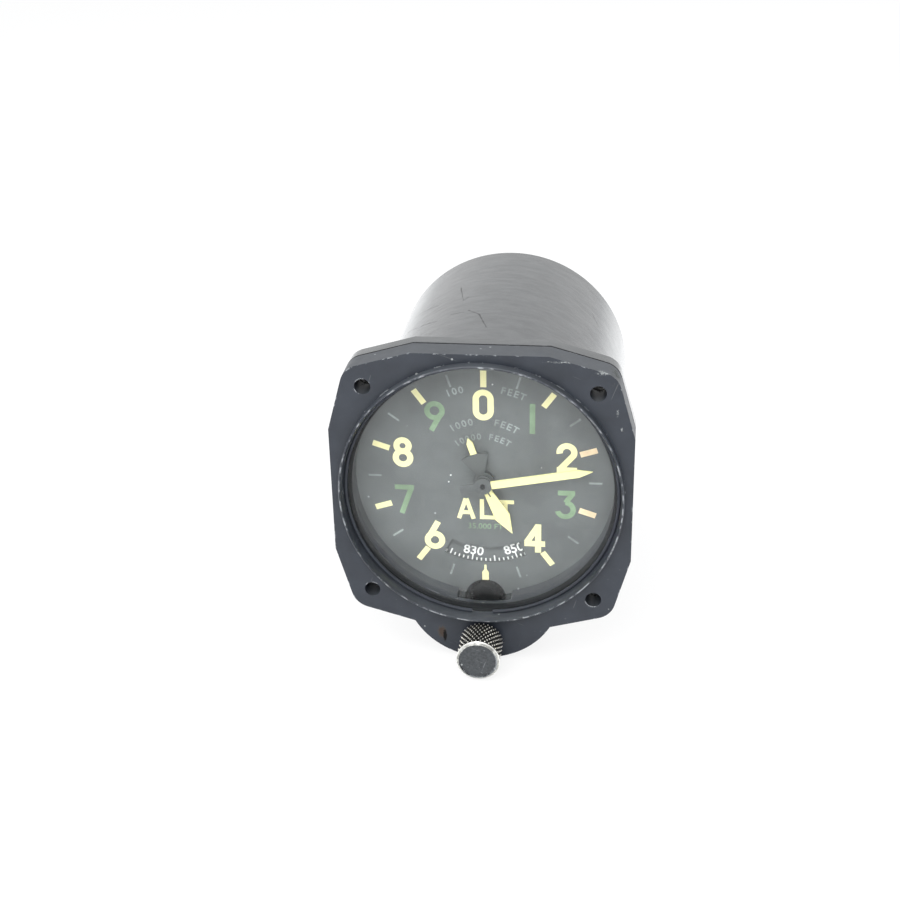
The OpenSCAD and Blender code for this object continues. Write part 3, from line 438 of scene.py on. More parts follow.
@dataclass(frozen=True)
class WornPaint(Finish):
    """Paint rubbed through on its edges, with hairline scratches, dust, painted light on its tops and
    patches of painted shade.

    Attributes:
        bare: Colour where the paint is worn.
        wear: How much of each edge is worn.
        edge: Width of the worn edges in metres.
        scratch: Share of the surface with hairlines.
        scratch_colour: Colour of the hairlines.
        coat: Weight of the clear lacquer.
        brush: Strength of the turned streaks in the lacquer, round the Y axis.
        can: Radius in metres of the round wall that the cuts are on.
        cuts: Deep scratches of that wall, as two ends of (degrees clockwise from the top, Y in millimetres).
        dust: Share of the dust cells that show.
        settled: How much of the faces that look up is hidden by a lighter film, partly dust and partly
            painted light from above.
        crest: Y in metres in front of which the paint is rubbed, or None.
        stains: Blemishes and patches of painted shade, the last one on top.
    """

    bare: Colour = (0.42, 0.44, 0.46)
    wear: float = 0.5
    edge: float = 0.0006
    scratch: float = 0.42
    scratch_colour: Colour = (0.16, 0.17, 0.18)
    coat: float = 0.0
    brush: float = 0.0
    can: float = 0.0375
    cuts: tuple[tuple[Point, Point], ...] = ()
    dust: float = 0.1
    settled: float = 0.0
    crest: float | None = None
    stains: tuple[Stain, ...] = ()

    dirt_rough: ClassVar[float] = 0.95
    speck_share: ClassVar[float] = 0.5
    speck_colour: ClassVar[Colour] = (0.5, 0.52, 0.52)
    film_colour: ClassVar[Colour] = (0.13, 0.14, 0.143)
    cut_edge: ClassVar[Point] = (0.00022, 0.00008)
    cut_stray: ClassVar[float] = 0.0008
    crest_fade: ClassVar[float] = 0.0005

    def hairlines(self, graph: Graph) -> Socket:
        """Says where the hairlines and the cuts run.

        Args:
            graph: The material's graph.

        Returns:
            The mask.
        """
        lines = graph.effect("scratches", Cover=self.scratch)
        if not self.cuts:
            return lines
        spot = graph.unrolled(self.can)
        noise = graph.effect("mottle", Scale=800.0)
        stray = graph.math("MULTIPLY_ADD", noise, self.cut_stray, -self.cut_stray / 2)
        for ends in self.cuts:
            start, end = (Vector((math.radians(turn) * self.can, y * MM, 0)) for turn, y in ends)
            away = graph.math("ADD", graph.from_line(spot, start, end), stray)
            lines = graph.math("MAXIMUM", lines, graph.step(away, *self.cut_edge))
        return lines

    def stained(self, graph: Graph) -> Value:
        """Says where any of the stains or the patches of painted shade lies."""
        masks = (blemish_or_shade.mask(graph) for blemish_or_shade in self.stains)
        return reduce(lambda whole, mask: graph.math("MAXIMUM", whole, mask), masks, 0.0)

    def dull(self, graph: Graph) -> Socket:
        """Mixes the roughness, with the stains and the painted shade as dull as dry dirt."""
        dirt = graph.math("MULTIPLY", self.stained(graph), self.dirt_rough)
        return graph.math("MAXIMUM", super().dull(graph), dirt)

    def lacquer(self, graph: Graph) -> Value:
        """Says how much lacquer is left, less so in streaks, hairlines, stains and painted shade.

        Args:
            graph: The material's graph.

        Returns:
            The weight of the coat.
        """
        if not self.coat:
            return 0.0
        streaks = graph.step(graph.noise(graph.scaled((0.3, 1.0, 0.3)), 480.0, 5.0, 0.7), 0.3, 0.7)
        level = graph.math("MULTIPLY_ADD", streaks, self.coat * self.brush, self.coat * (1 - self.brush))
        lost = graph.math("MAXIMUM", self.hairlines(graph), self.stained(graph))
        return graph.math("MULTIPLY", level, graph.math("SUBTRACT", 1.0, lost))

    def tint(self, graph: Graph) -> Socket:
        """Mixes the worn colour.

        Args:
            graph: The material's graph.

        Returns:
            The colour.
        """
        shown = graph.math("MULTIPLY", self.hairlines(graph), 0.75 if self.cuts else 0.6)
        colour = graph.mix(shown, super().tint(graph), self.scratch_colour)
        dust = graph.effect("specks", Scale=420.0, Size=0.14, Cover=self.dust)
        colour = graph.mix(graph.math("MULTIPLY", dust, self.speck_share), colour, self.speck_colour)
        # Faces that look up get a lighter film, partly dust and partly painted light from above.
        if self.settled:
            normal = graph.add("ShaderNodeNewGeometry").outputs["Normal"]
            rise = graph.add("ShaderNodeSeparateXYZ", {0: normal}).outputs[2]
            dusty_lit_top = graph.math("MULTIPLY", graph.step(rise, 0.4, 0.95), self.settled)
            colour = graph.mix(dusty_lit_top, colour, self.film_colour)
        # Each stain or patch of painted shade is laid over the colour.
        for blemish_or_shade in self.stains:
            colour = graph.mix(blemish_or_shade.mask(graph), colour, blemish_or_shade.colour)
        return graph.mix(self.shine(graph), colour, self.bare)

    def shine(self, graph: Graph) -> Socket:
        """Says where the paint is worn away.

        Args:
            graph: The material's graph.

        Returns:
            The mask of bare metal.
        """
        worn = graph.effect("edge_wear", Radius=self.edge, Scale=260.0, Reach=self.wear)
        if self.crest is None:
            return worn
        rubbed = graph.step(graph.along((0, 1, 0)), self.crest, self.crest - self.crest_fade)
        patch = graph.step(graph.effect("mottle", Scale=320.0), 0.5, 0.62)
        return graph.math("MAXIMUM", worn, graph.math("MULTIPLY", rubbed, patch), clamp=True)


@dataclass(frozen=True)
class KnurlPaint(WornPaint):
    """Dark paint on a knurl, with bright points.

    Attributes:
        axis: A point of the knob's axis in metres.
        root: Radius of the grooves in metres.
        crown: Radius of the points in metres.
    """

    axis: Sequence[float] = (0, 0, 0)
    root: float = 0.0054
    crown: float = 0.0059

    def shine(self, graph: Graph) -> Socket:
        """Says where the points are rubbed bright.

        Args:
            graph: The material's graph.

        Returns:
            The mask of bare metal.
        """
        rise = self.crown - self.root
        top = graph.step(graph.off_axis(self.axis), self.root + 0.5 * rise, self.root + 0.75 * rise)
        patch = graph.step(graph.effect("mottle", Scale=500.0), 0.2, 0.4)
        return graph.math("MULTIPLY", top, patch, clamp=True)


@dataclass(frozen=True)
class Metal(Finish):
    """Bare metal with the marks of turning or brushing.

    Attributes:
        lay: Stretch of the marks along X, Y and Z.
        tarnish: Colour of the dull patches.
    """

    metallic: float = 1.0
    lay: Colour = (1.0, 0.06, 1.0)
    tarnish: Colour = (0.2, 0.17, 0.12)

    def tint(self, graph: Graph) -> Socket:
        """Mixes the tarnished colour."""
        patch = graph.step(graph.effect("mottle", Scale=130.0, Detail=6.0), 0.52, 0.8)
        return graph.mix(graph.math("MULTIPLY", patch, 0.5), super().tint(graph), self.tarnish)

    def relief(self, graph: Graph) -> Socket:
        """Mixes the height of the tool marks."""
        return graph.noise(graph.scaled(self.lay), self.grain, 2.0)


@dataclass(frozen=True)
class PointerPaint(Finish):
    """Black paint with luminous paint from some way out along the pointer.

    Attributes:
        turn: Degrees clockwise from the top that the pointer points to.
        start: Distance from the axis in metres where the luminous paint starts.
        slit: Distance from the axis in metres up to which a dark slit splits the root, or 0.
        lume: Colour of the luminous paint.
    """

    turn: float = 0.0
    start: float = 0.0023
    slit: float = 0.0
    lume: Colour = (0.92, 0.85, 0.4)

    blur: ClassVar[float] = 0.00004
    slit_edge: ClassVar[Point] = (0.00026, 0.00014)
    slit_fade: ClassVar[float] = 0.0003
    aged_share: ClassVar[float] = 0.35
    aged_shade: ClassVar[float] = 0.78

    def tint(self, graph: Graph) -> Socket:
        """Mixes the two paints.

        Args:
            graph: The material's graph.

        Returns:
            The colour.
        """
        x, z = polar(1.0, self.turn)
        out = graph.along((x, 0, z))
        mask = graph.step(out, self.start - self.blur, self.start + self.blur)
        if self.slit:
            side = graph.step(graph.math("ABSOLUTE", graph.along((z, 0, -x))), *self.slit_edge)
            split = graph.math("MULTIPLY", side, graph.step(out, self.slit + self.slit_fade, self.slit))
            mask = graph.math("SUBTRACT", mask, split, clamp=True)
        aged = graph.step(graph.effect("mottle", Scale=420.0, Detail=5.0), 0.4, 0.75)
        old = tuple(c * self.aged_shade for c in self.lume)
        lume = graph.mix(graph.math("MULTIPLY", aged, self.aged_share), self.lume, old)
        return graph.mix(mask, super().tint(graph), lume)


@dataclass(frozen=True)
class Pane(Finish):
    """Clear glass with a light film of dust, which lets shadow rays through."""

    shade: ClassVar[Colour] = (0.92, 0.93, 0.93)

    def material(self) -> bpy.types.Material:
        """Makes the material.

        Returns:
            The material with its nodes.
        """
        made = bpy.data.materials.new(self.name)
        graph = Graph.fresh(made)
        film = graph.effect("mottle", Scale=60.0)
        relief = {"Height": self.relief(graph), "Distance": self.bump, "Strength": 0.1}
        glass = graph.add(
            "ShaderNodeBsdfPrincipled",
            {
                "Base Color": (*self.colour, 1.0),
                "Roughness": graph.math("MULTIPLY_ADD", film, 0.03, self.rough),
                "Transmission Weight": 1.0,
                "IOR": 1.3,
                "Normal": graph.add("ShaderNodeBump", relief).outputs[0],
            },
        )
        through = graph.add("ShaderNodeBsdfTransparent", {0: (*self.shade, 1.0)})
        shadow = graph.add("ShaderNodeLightPath").outputs["Is Shadow Ray"]
        mixed = graph.add("ShaderNodeMixShader", {0: shadow, 1: glass.outputs[0], 2: through.outputs[0]})
        graph.add("ShaderNodeOutputMaterial", {"Surface": mixed.outputs[0]})
        return made


@dataclass(frozen=True)
class Film:
    """A layer of paint that faces the reader, in millimetres.

    Attributes:
        front: Y of its front face.
        depth: Its thickness.
    """

    front: float
    depth: float

    lift: ClassVar[float] = 0.004

    @classmethod
    def on(cls, node: str, depth: float) -> "Film":
        """Lays a film on the front of a CAD node."""
        return cls(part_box(node)[0][1] / MM - depth, depth)

    def raised(self, layers: int) -> "Film":
        """Gives the film some layers further forward, so that strokes that cross share no face."""
        return Film(self.front - self.lift * layers, self.depth)


class Bench:
    """Modelling steps on one object at a time, as by hand."""

    capital: ClassVar[float] = 0.7
    weld: ClassVar[float] = 2e-6
    flat_angle: ClassVar[float] = math.radians(0.4)
    sharp_angle: ClassVar[float] = math.radians(35)
    smooth_angle: ClassVar[float] = math.radians(32)

    @staticmethod
    def only(*objs: Obj) -> None:
        """Selects these objects alone, the first one active.

        Args:
            objs: The objects.
        """
        bpy.ops.object.select_all(action="DESELECT")
        for obj in objs:
            obj.select_set(True)
        bpy.context.view_layer.objects.active = objs[0]

    @staticmethod
    def added(operator: Callable[..., object], **settings: object) -> Obj:
        """Runs an operator that adds an object, with nothing else selected.

        Args:
            operator: The operator.
            settings: Its settings.

        Returns:
            The new object.
        """
        bpy.ops.object.select_all(action="DESELECT")
        operator(**settings)
        return bpy.context.object

    @staticmethod
    def settle(obj: Obj) -> Obj:
        """Puts an object's place, turn and scale into its mesh.

        Args:
            obj: The object.

        Returns:
            The same object.
        """
        Bench.only(obj)
        bpy.ops.object.transform_apply(location=True, rotation=True, scale=True)
        return obj

    @staticmethod
    def join(parts: Sequence[Obj]) -> Obj:
        """Joins settled objects into the first one.

        Args:
            parts: The objects.

        Returns:
            The joined object.
        """
        Bench.only(*parts)
        if len(parts) > 1:
            bpy.ops.object.join()
        return parts[0]

    @staticmethod
    @contextmanager
    def editing(obj: Obj, kind: str = "VERT", chosen: Callable[..., bool] | None = None) -> Iterator[None]:
        """Opens an object's mesh in edit mode for a while.

        Args:
            obj: The object.
            kind: What is selected: VERT, EDGE or FACE.
            chosen: Says which vertices or faces are selected, or None for all.

        Yields:
            Nothing.
        """
        Bench.only(obj)
        bpy.ops.object.mode_set(mode="EDIT")
        bpy.ops.mesh.select_mode(type=kind)
        bpy.ops.mesh.select_all(action="DESELECT" if chosen else "SELECT")
        if chosen:
            bpy.ops.object.mode_set(mode="OBJECT")
            for item in obj.data.polygons if kind == "FACE" else obj.data.vertices:
                item.select = chosen(item)
            bpy.ops.object.mode_set(mode="EDIT")
        yield
        bpy.ops.object.mode_set(mode="OBJECT")

    @staticmethod
    def words(text: str, height: float, at: Point, turn: float, film: Film, bold: float = 0.0) -> Obj:
        """Adds lettering that faces the reader.

        Args:
            text: What it says.
            height: Height of a capital in millimetres.
            at: Its middle as (x, z) in millimetres.
            turn: Degrees clockwise that it is turned.
            film: Where its paint lies.
            bold: Growth of the outline as a share of the height.

        Returns:
            The lettering as a mesh.
        """
        scale = height / Bench.capital
        obj = Bench.added(bpy.ops.object.text_add)
        obj.data.body = text
        obj.data.resolution_u = 3
        obj.data.offset = bold
        obj.data.extrude = film.depth / 2 / scale
        bpy.ops.object.convert(target="MESH")
        obj = bpy.context.object
        obj.rotation_euler = (math.radians(90), 0, 0)
        obj.scale = (scale * MM,) * 3
        Bench.settle(obj)
        corners = [Vector(corner) for corner in obj.bound_box]
        obj.location = -(corners[0] + corners[6]) / 2
        Bench.settle(obj)
        obj.rotation_euler = (0, math.radians(turn), 0)
        obj.location = Vector((at[0], film.front + film.depth / 2, at[1])) * MM
        return Bench.settle(obj)

    @staticmethod
    def soften(node: str, width: float) -> Obj:
        """Copies a CAD node with its edges rounded.

        Args:
            node: Name of the CAD node.
            width: Width of the rounding in millimetres, or 0 for smooth shading alone.

        Returns:
            The copy, which stands for the node.
        """
        Bench.only(frame["nodes"][node])
        bpy.ops.object.duplicate()
        obj = bpy.context.object
        place = obj.matrix_world.copy()
        obj.parent = None
        obj.matrix_world = place
        Bench.settle(obj)
        with Bench.editing(obj):
            bpy.ops.mesh.remove_doubles(threshold=Bench.weld)
            bpy.ops.mesh.dissolve_limited(angle_limit=Bench.flat_angle)
            bpy.ops.mesh.normals_make_consistent(inside=False)
        if width:
            edge = obj.modifiers.new("edge", "BEVEL")
            edge.limit_method = "ANGLE"
            edge.angle_limit = Bench.sharp_angle
            edge.width = width * MM
            edge.segments = 2
            edge.use_clamp_overlap = False
            bpy.ops.object.modifier_apply(modifier=edge.name)
        bpy.ops.object.shade_smooth_by_angle(angle=Bench.smooth_angle)
        flat = obj.modifiers.new("flat", "WEIGHTED_NORMAL")
        flat.keep_sharp = True
        bpy.ops.object.modifier_apply(modifier=flat.name)
        return obj


@dataclass
class Shop:
    """Keeps the finishes and hands pieces over to their bodies."""

    slots: dict[str, Finish]
    inks: dict[Ink, Finish]

    def __post_init__(self) -> None:
        """Starts with no material made."""
        self.made: dict[str, bpy.types.Material] = {}

    def paint(self, obj: Obj, finish: Finish) -> None:
        """Gives an object one finish.

        Args:
            obj: The object.
            finish: The finish.
        """
        if finish.name not in self.made:
            self.made[finish.name] = finish.material()
        obj.data.materials.clear()
        obj.data.materials.append(self.made[finish.name])

    def hand_over(self, obj: Obj, name: str, body: str, finish: Finish) -> None:
        """Names a piece, paints it and lets it ride on a body.

        Args:
            obj: The piece.
            name: Its name.
            body: Name of the body.
            finish: Its finish.
        """
        obj.name = name
        obj.data.name = name
        self.paint(obj, finish)
        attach(obj, body)
        LOG.info("%s: %d faces on %s", name, len(obj.data.polygons), body)

    def printed(self, obj: Obj, name: str, body: Body, ink: Ink) -> None:
        """Hands over a piece of printing."""
        self.hand_over(obj, name, body.value, self.inks[ink])

    def dress_nodes(self) -> None:
        """Gives every CAD node the finish of its slot."""
        for part in frame["record"]["subparts"]:
            self.paint(frame["nodes"][part["node"]], self.slots[part["material_slot"]])

    def stand_in(self, node: str, width: float, finish: Finish | None = None) -> None:
        """Replaces a CAD node by a copy with rounded edges.

        Args:
            node: Name of the CAD node.
            width: Width of the rounding in millimetres.
            finish: A finish of its own, or None for its slot's.
        """
        slot = next(p["material_slot"] for p in frame["record"]["subparts"] if p["node"] == node)
        bodies = frame["record"]["behaviour"]["bodies"]
        body = next(name for name, nodes in bodies.items() if node in nodes)
        obj = Bench.soften(node, width)
        self.hand_over(obj, node + "_looks", body, finish or self.slots[slot])
        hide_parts(node)


@dataclass(frozen=True)
class Bar:
    """A straight stroke between two (x, z), in millimetres."""

    start: Point
    end: Point

    def draw(self, film: Film, width: float, at: Point = (0, 0)) -> Obj:
        """Draws the stroke.

        Args:
            film: Where its paint lies.
            width: Its width.
            at: Middle of the glyph that it belongs to.

        Returns:
            The stroke.
        """
        (x0, z0), (x1, z1) = ((x + at[0], z + at[1]) for x, z in (self.start, self.end))
        middle = Vector((x0 + x1, 2 * film.front + film.depth, z0 + z1)) * (MM / 2)
        lean = (0, math.atan2(x1 - x0, z1 - z0), 0)
        obj = Bench.added(bpy.ops.mesh.primitive_cube_add, size=1, location=middle, rotation=lean)
        obj.scale = Vector((width, film.depth, math.hypot(x1 - x0, z1 - z0))) * MM
        return Bench.settle(obj)


@dataclass(frozen=True)
class Arc:
    """A round stroke, in millimetres and degrees clockwise from the top."""

    centre: Point
    radius: float
    start: float
    sweep: float

    facet: ClassVar[float] = 9.0
    fewest: ClassVar[int] = 6

    def draw(self, film: Film, width: float, at: Point = (0, 0)) -> Obj:
        """Draws the stroke.

        Args:
            film: Where its paint lies.
            width: Its width.
            at: Middle of the glyph that it belongs to.

        Returns:
            The stroke.
        """
        x, z = polar(self.radius, self.start)
        centre = Vector((self.centre[0] + at[0], film.front, self.centre[1] + at[1])) * MM
        first = centre + Vector((x, film.depth / 2, z)) * MM
        turn = (0, math.radians(self.start - 90), 0)
        obj = Bench.added(bpy.ops.mesh.primitive_plane_add, size=1, location=first, rotation=turn)
        obj.scale = (width * MM, film.depth * MM, 1)
        steps = max(self.fewest, round(self.sweep / self.facet))
        with Bench.editing(Bench.settle(obj)):
            bpy.ops.mesh.spin(steps=steps, angle=-math.radians(self.sweep), center=centre, axis=(0, 1, 0))
            bpy.ops.mesh.select_all(action="SELECT")
            bpy.ops.mesh.remove_doubles(threshold=1e-7)
            bpy.ops.mesh.normals_make_consistent(inside=False)
        return obj


def tick_ring(film: Film, inner: float, outer: float, width: float, angles: Iterable[float]) -> Obj:
    """Draws a tick between two radii at each angle, and joins the ticks."""
    ticks = (Bar(polar(inner, angle), polar(outer, angle)) for angle in angles)
    return Bench.join([tick.draw(film, width) for tick in ticks])


GLYPHS: dict[str, tuple[Bar | Arc, ...]] = {
    "0": (
        Arc((0, 1.7), 2.03, -90, 180),
        Bar((2.03, 1.75), (2.03, -1.75)),
        Arc((0, -1.7), 2.03, 90, 180),
        Bar((-2.03, -1.75), (-2.03, 1.75)),
    ),
    "1": (Bar((0, -4.5), (0, 4.5)),),
    "2": (
        Arc((0, 1.68), 2.03, -100, 215),
        Bar((1.98, 1.0), (-1.7, -3.3)),
        Bar((-2.75, -3.72), (2.85, -3.72)),
    ),
    "3": (
        Bar((-2.3, 3.72), (2.5, 3.72)),
        Bar((1.95, 3.7), (-0.1, 0.75)),
        Arc((-0.15, -1.52), 2.2, -2, 258),
    ),
    "4": (
        Bar((0.95, -4.6), (0.95, 4.55)),
        Bar((0.98, 4.1), (-2.3, -1.4)),
        Bar((-2.95, -1.75), (2.95, -1.75)),
    ),
    "6": (Arc((0, -1.62), 2.1, 0, FULL_TURN), Bar((-1.7, -0.75), (1.05, 4.4))),
    "7": (Bar((-2.65, 3.72), (2.8, 3.72)), Bar((2.1, 3.7), (-0.9, -4.6))),
    "8": (Arc((0, 2.0), 1.72, 0, FULL_TURN), Arc((0, -1.7), 2.05, 0, FULL_TURN)),
    "9": (Arc((0, 1.62), 2.1, 0, FULL_TURN), Bar((1.7, 0.75), (-1.05, -4.4))),
    "A": (Bar((-2.1, -3.2), (-0.1, 3.2)), Bar((2.1, -3.2), (0.1, 3.2)), Bar((-1.3, -1.2), (1.3, -1.2))),
    "L": (Bar((-1.7, -3.2), (-1.7, 3.2)), Bar((-1.7, -2.55), (2.3, -2.55))),
    "T": (Bar((-2.4, 2.55), (2.4, 2.55)), Bar((0, -3.2), (0, 2.6))),
}


@dataclass
class DialPrinting:
    """Numerals, ticks and legends of the dial, in millimetres and degrees clockwise from the top.

    Attributes:
        bold: Growth of the legends' outlines.
        pitch: Distance between a legend's signs as a share of their height.
        ticks: Inner end, outer end and width of the ticks at the numerals.
        minor_ticks: The same for the ticks between them.
        minor_angles: First angle and step of those.
        index: Lower end, shoulder and width of the pressure index.
        necks: Rise and narrowing of each step above its shoulder.
        numerals: Sign, middle and ink.
        letters: Sign and middle.
        legends: Text, radius, angle and height.
        limit: Text, height and middle of the range.
        specks: Place and radius of each grain of dust.
    """

    depth: float = 0.03
    stroke: float = 1.75
    thin_stroke: float = 1.505
    letter_stroke: float = 1.2
    bold: float = 0.02
    pitch: float = 0.92
    ticks: tuple[float, float, float] = (28.0, 32.9, 1.7)
    minor_ticks: tuple[float, float, float] = (29.2, 32.9, 0.6)
    minor_angles: tuple[int, int] = (18, 36)
    index: tuple[float, float, float] = (-32.65, -30.0, 1.9)
    necks: tuple[Point, ...] = ((0.9, 0.36), (1.5, 0.85))
    numerals: tuple[tuple[str, Point, Ink], ...] = (
        ("0", (-0.1, 22.7), Ink.CREAM),
        ("1", (13.4, 19.0), Ink.GREEN),
        ("2", (22.95, 7.5), Ink.CREAM),
        ("3", (22.9, -7.1), Ink.GREEN),
        ("4", (14.2, -18.2), Ink.CREAM),
        ("6", (-14.5, -18.5), Ink.CREAM),
        ("7", (-22.9, -7.2), Ink.GREEN),
        ("8", (-22.9, 7.5), Ink.CREAM),
        ("9", (-13.6, 18.9), Ink.GREEN),
    )
    letters: tuple[tuple[str, Point], ...] = (("A", (-5.3, -9.5)), ("L", (0.9, -9.5)), ("T", (5.9, -9.5)))
    cream_ticks: tuple[float, ...] = (0, 36, 144, 216, 252, 288, 324)
    amber_ticks: tuple[float, ...] = (72, 108)
    legends: tuple[tuple[str, float, float, float], ...] = (
        ("100", 27.7, -16.8, 2.0),
        ("FEET", 27.7, 17.2, 2.0),
        ("1000", 17.8, -21.0, 2.0),
        ("FEET", 17.8, 20.5, 2.0),
        ("10000", 13.2, -20.5, 1.8),
        ("FEET", 13.2, 19.5, 1.8),
    )
    limit: tuple[str, float, Point] = ("35,000 FT", 1.75, (0.2, -15.1))
    specks: tuple[tuple[float, float, float], ...] = (
        (2.5, 28.9, 0.22),
        (25.2, -26.8, 0.25),
        (-9.5, 0.9, 0.24),
        (-10.1, -1.2, 0.2),
        (16.0, 4.2, 0.12),
    )

    def __post_init__(self) -> None:
        """Finds where the paint lies."""
        self.film = Film.on("dial_plate", self.depth)

    def _glyph(self, sign: str, at: Point, width: float) -> Obj:
        """Draws a sign with its strokes one above the other."""
        strokes = enumerate(GLYPHS[sign])
        return Bench.join([stroke.draw(self.film.raised(i), width, at) for i, stroke in strokes])

    def _legend(self, text: str, radius: float, middle: float, height: float) -> list[Obj]:
        """Writes a legend along an arc.

        Args:
            text: What it says.
            radius: Radius of the arc.
            middle: Angle of its middle.
            height: Height of the signs.

        Returns:
            The signs.
        """
        pitch = math.degrees(height * self.pitch / radius)
        first = middle - pitch * (len(text) - 1) / 2
        angles = [first + pitch * i for i in range(len(text))]
        return [
            Bench.words(sign, height, polar(radius, angle), angle, self.film, self.bold)
            for sign, angle in zip(text, angles)
        ]

    def _index(self) -> Obj:
        """Extrudes the top of a bar into the bottle shape of the pressure index.

        Returns:
            The index.
        """
        low, shoulder, width = self.index
        obj = Bar((0, low), (0, shoulder)).draw(self.film, width)
        with Bench.editing(obj, "FACE", lambda face: face.normal.z > 0.9):
            for rise, spread in self.necks:
                bpy.ops.mesh.extrude_region_move(TRANSFORM_OT_translate={"value": (0, 0, rise * MM)})
                bpy.ops.transform.resize(value=(spread, 1, 1))
        return obj

    def _dust(self) -> Obj:
        """Strews the grains of dust.

        Returns:
            The joined grains.
        """
        grains: list[Obj] = []
        for x, z, radius in self.specks:
            at = Vector((x, self.film.front, z)) * MM
            add = bpy.ops.mesh.primitive_ico_sphere_add
            grains.append(Bench.settle(Bench.added(add, subdivisions=2, radius=radius * MM, location=at)))
        return Bench.join(grains)

    def dress(self, shop: Shop) -> None:
        """Prints the dial.

        Args:
            shop: Hands the pieces over.
        """
        for sign, at, ink in self.numerals:
            width = self.stroke if ink is Ink.CREAM else self.thin_stroke
            shop.printed(self._glyph(sign, at, width), f"numeral_{sign}", Body.CASE, ink)
        for sign, at in self.letters:
            shop.printed(self._glyph(sign, at, self.letter_stroke), f"letter_{sign}", Body.CASE, Ink.CREAM)
        first, step = self.minor_angles
        for name, sizes, angles, ink in (
            ("cream_ticks", self.ticks, self.cream_ticks, Ink.CREAM),
            ("amber_ticks", self.ticks, self.amber_ticks, Ink.AMBER),
            ("minor_ticks", self.minor_ticks, range(first, FULL_TURN, step), Ink.GREY),
        ):
            shop.printed(tick_ring(self.film, *sizes, angles), name, Body.CASE, ink)
        shop.printed(self._index(), "pressure_index", Body.CASE, Ink.CREAM)
        words = [sign for legend in self.legends for sign in self._legend(*legend)]
        shop.printed(Bench.join(words), "foot_legends", Body.CASE, Ink.GREY)
        text, height, at = self.limit
        shop.printed(Bench.words(text, height, at, 0, self.film), "range_legend", Body.CASE, Ink.GREEN)
        shop.printed(self._dust(), "dial_dust", Body.CASE, Ink.WHITE)


@dataclass
class ScalePrinting:
    """Ticks and numbers of the pressure scale, in millimetres and millibars.

    Attributes:
        reading: Pressure at the index.
        per_unit: Degrees for one millibar.
        outer: Radius of the ticks' outer ends.
        ticks: Radius of the inner ends and step of the short and the long ticks.
        labels: First label above the lowest pressure, and step.
        label_at: Radius of the labels' middles.
        bold: Growth of their outlines.
    """

    depth: float = 0.02
    reading: float = 836.0
    low: int = 800
    high: int = 1050
    per_unit: float = 1.4
    outer: float = 27.45
    ticks: tuple[tuple[float, int], ...] = ((26.2, 2), (25.3, 10))
    width: float = 0.42
    labels: tuple[int, int] = (10, 20)
    label_at: float = 23.95
    label_height: float = 2.75
    bold: float = 0.018

    def angle(self, value: float) -> float:
        """Finds where a pressure stands at rest, in degrees clockwise from the top."""
        return 180 - (value - self.reading) * self.per_unit

    def dress(self, shop: Shop) -> None:
        """Prints the scale.

        Args:
            shop: Hands the pieces over.
        """
        film = Film.on("baro_scale", self.depth)
        rings: list[Obj] = []
        for i, (inner, step) in enumerate(self.ticks):
            angles = [self.angle(value) for value in range(self.low, self.high + 1, step)]
            rings.append(tick_ring(film.raised(i), inner, self.outer, self.width, angles))
        shop.printed(Bench.join(rings), "scale_ticks", Body.SCALE, Ink.WHITE)
        first, step = self.labels
        labels: list[Obj] = []
        for value in range(self.low + first, self.high + 1, step):
            angle = self.angle(value)
            at = polar(self.label_at, angle)
            labels.append(Bench.words(str(value), self.label_height, at, angle - 180, film, self.bold))
        shop.printed(Bench.join(labels), "scale_numbers", Body.SCALE, Ink.WHITE)


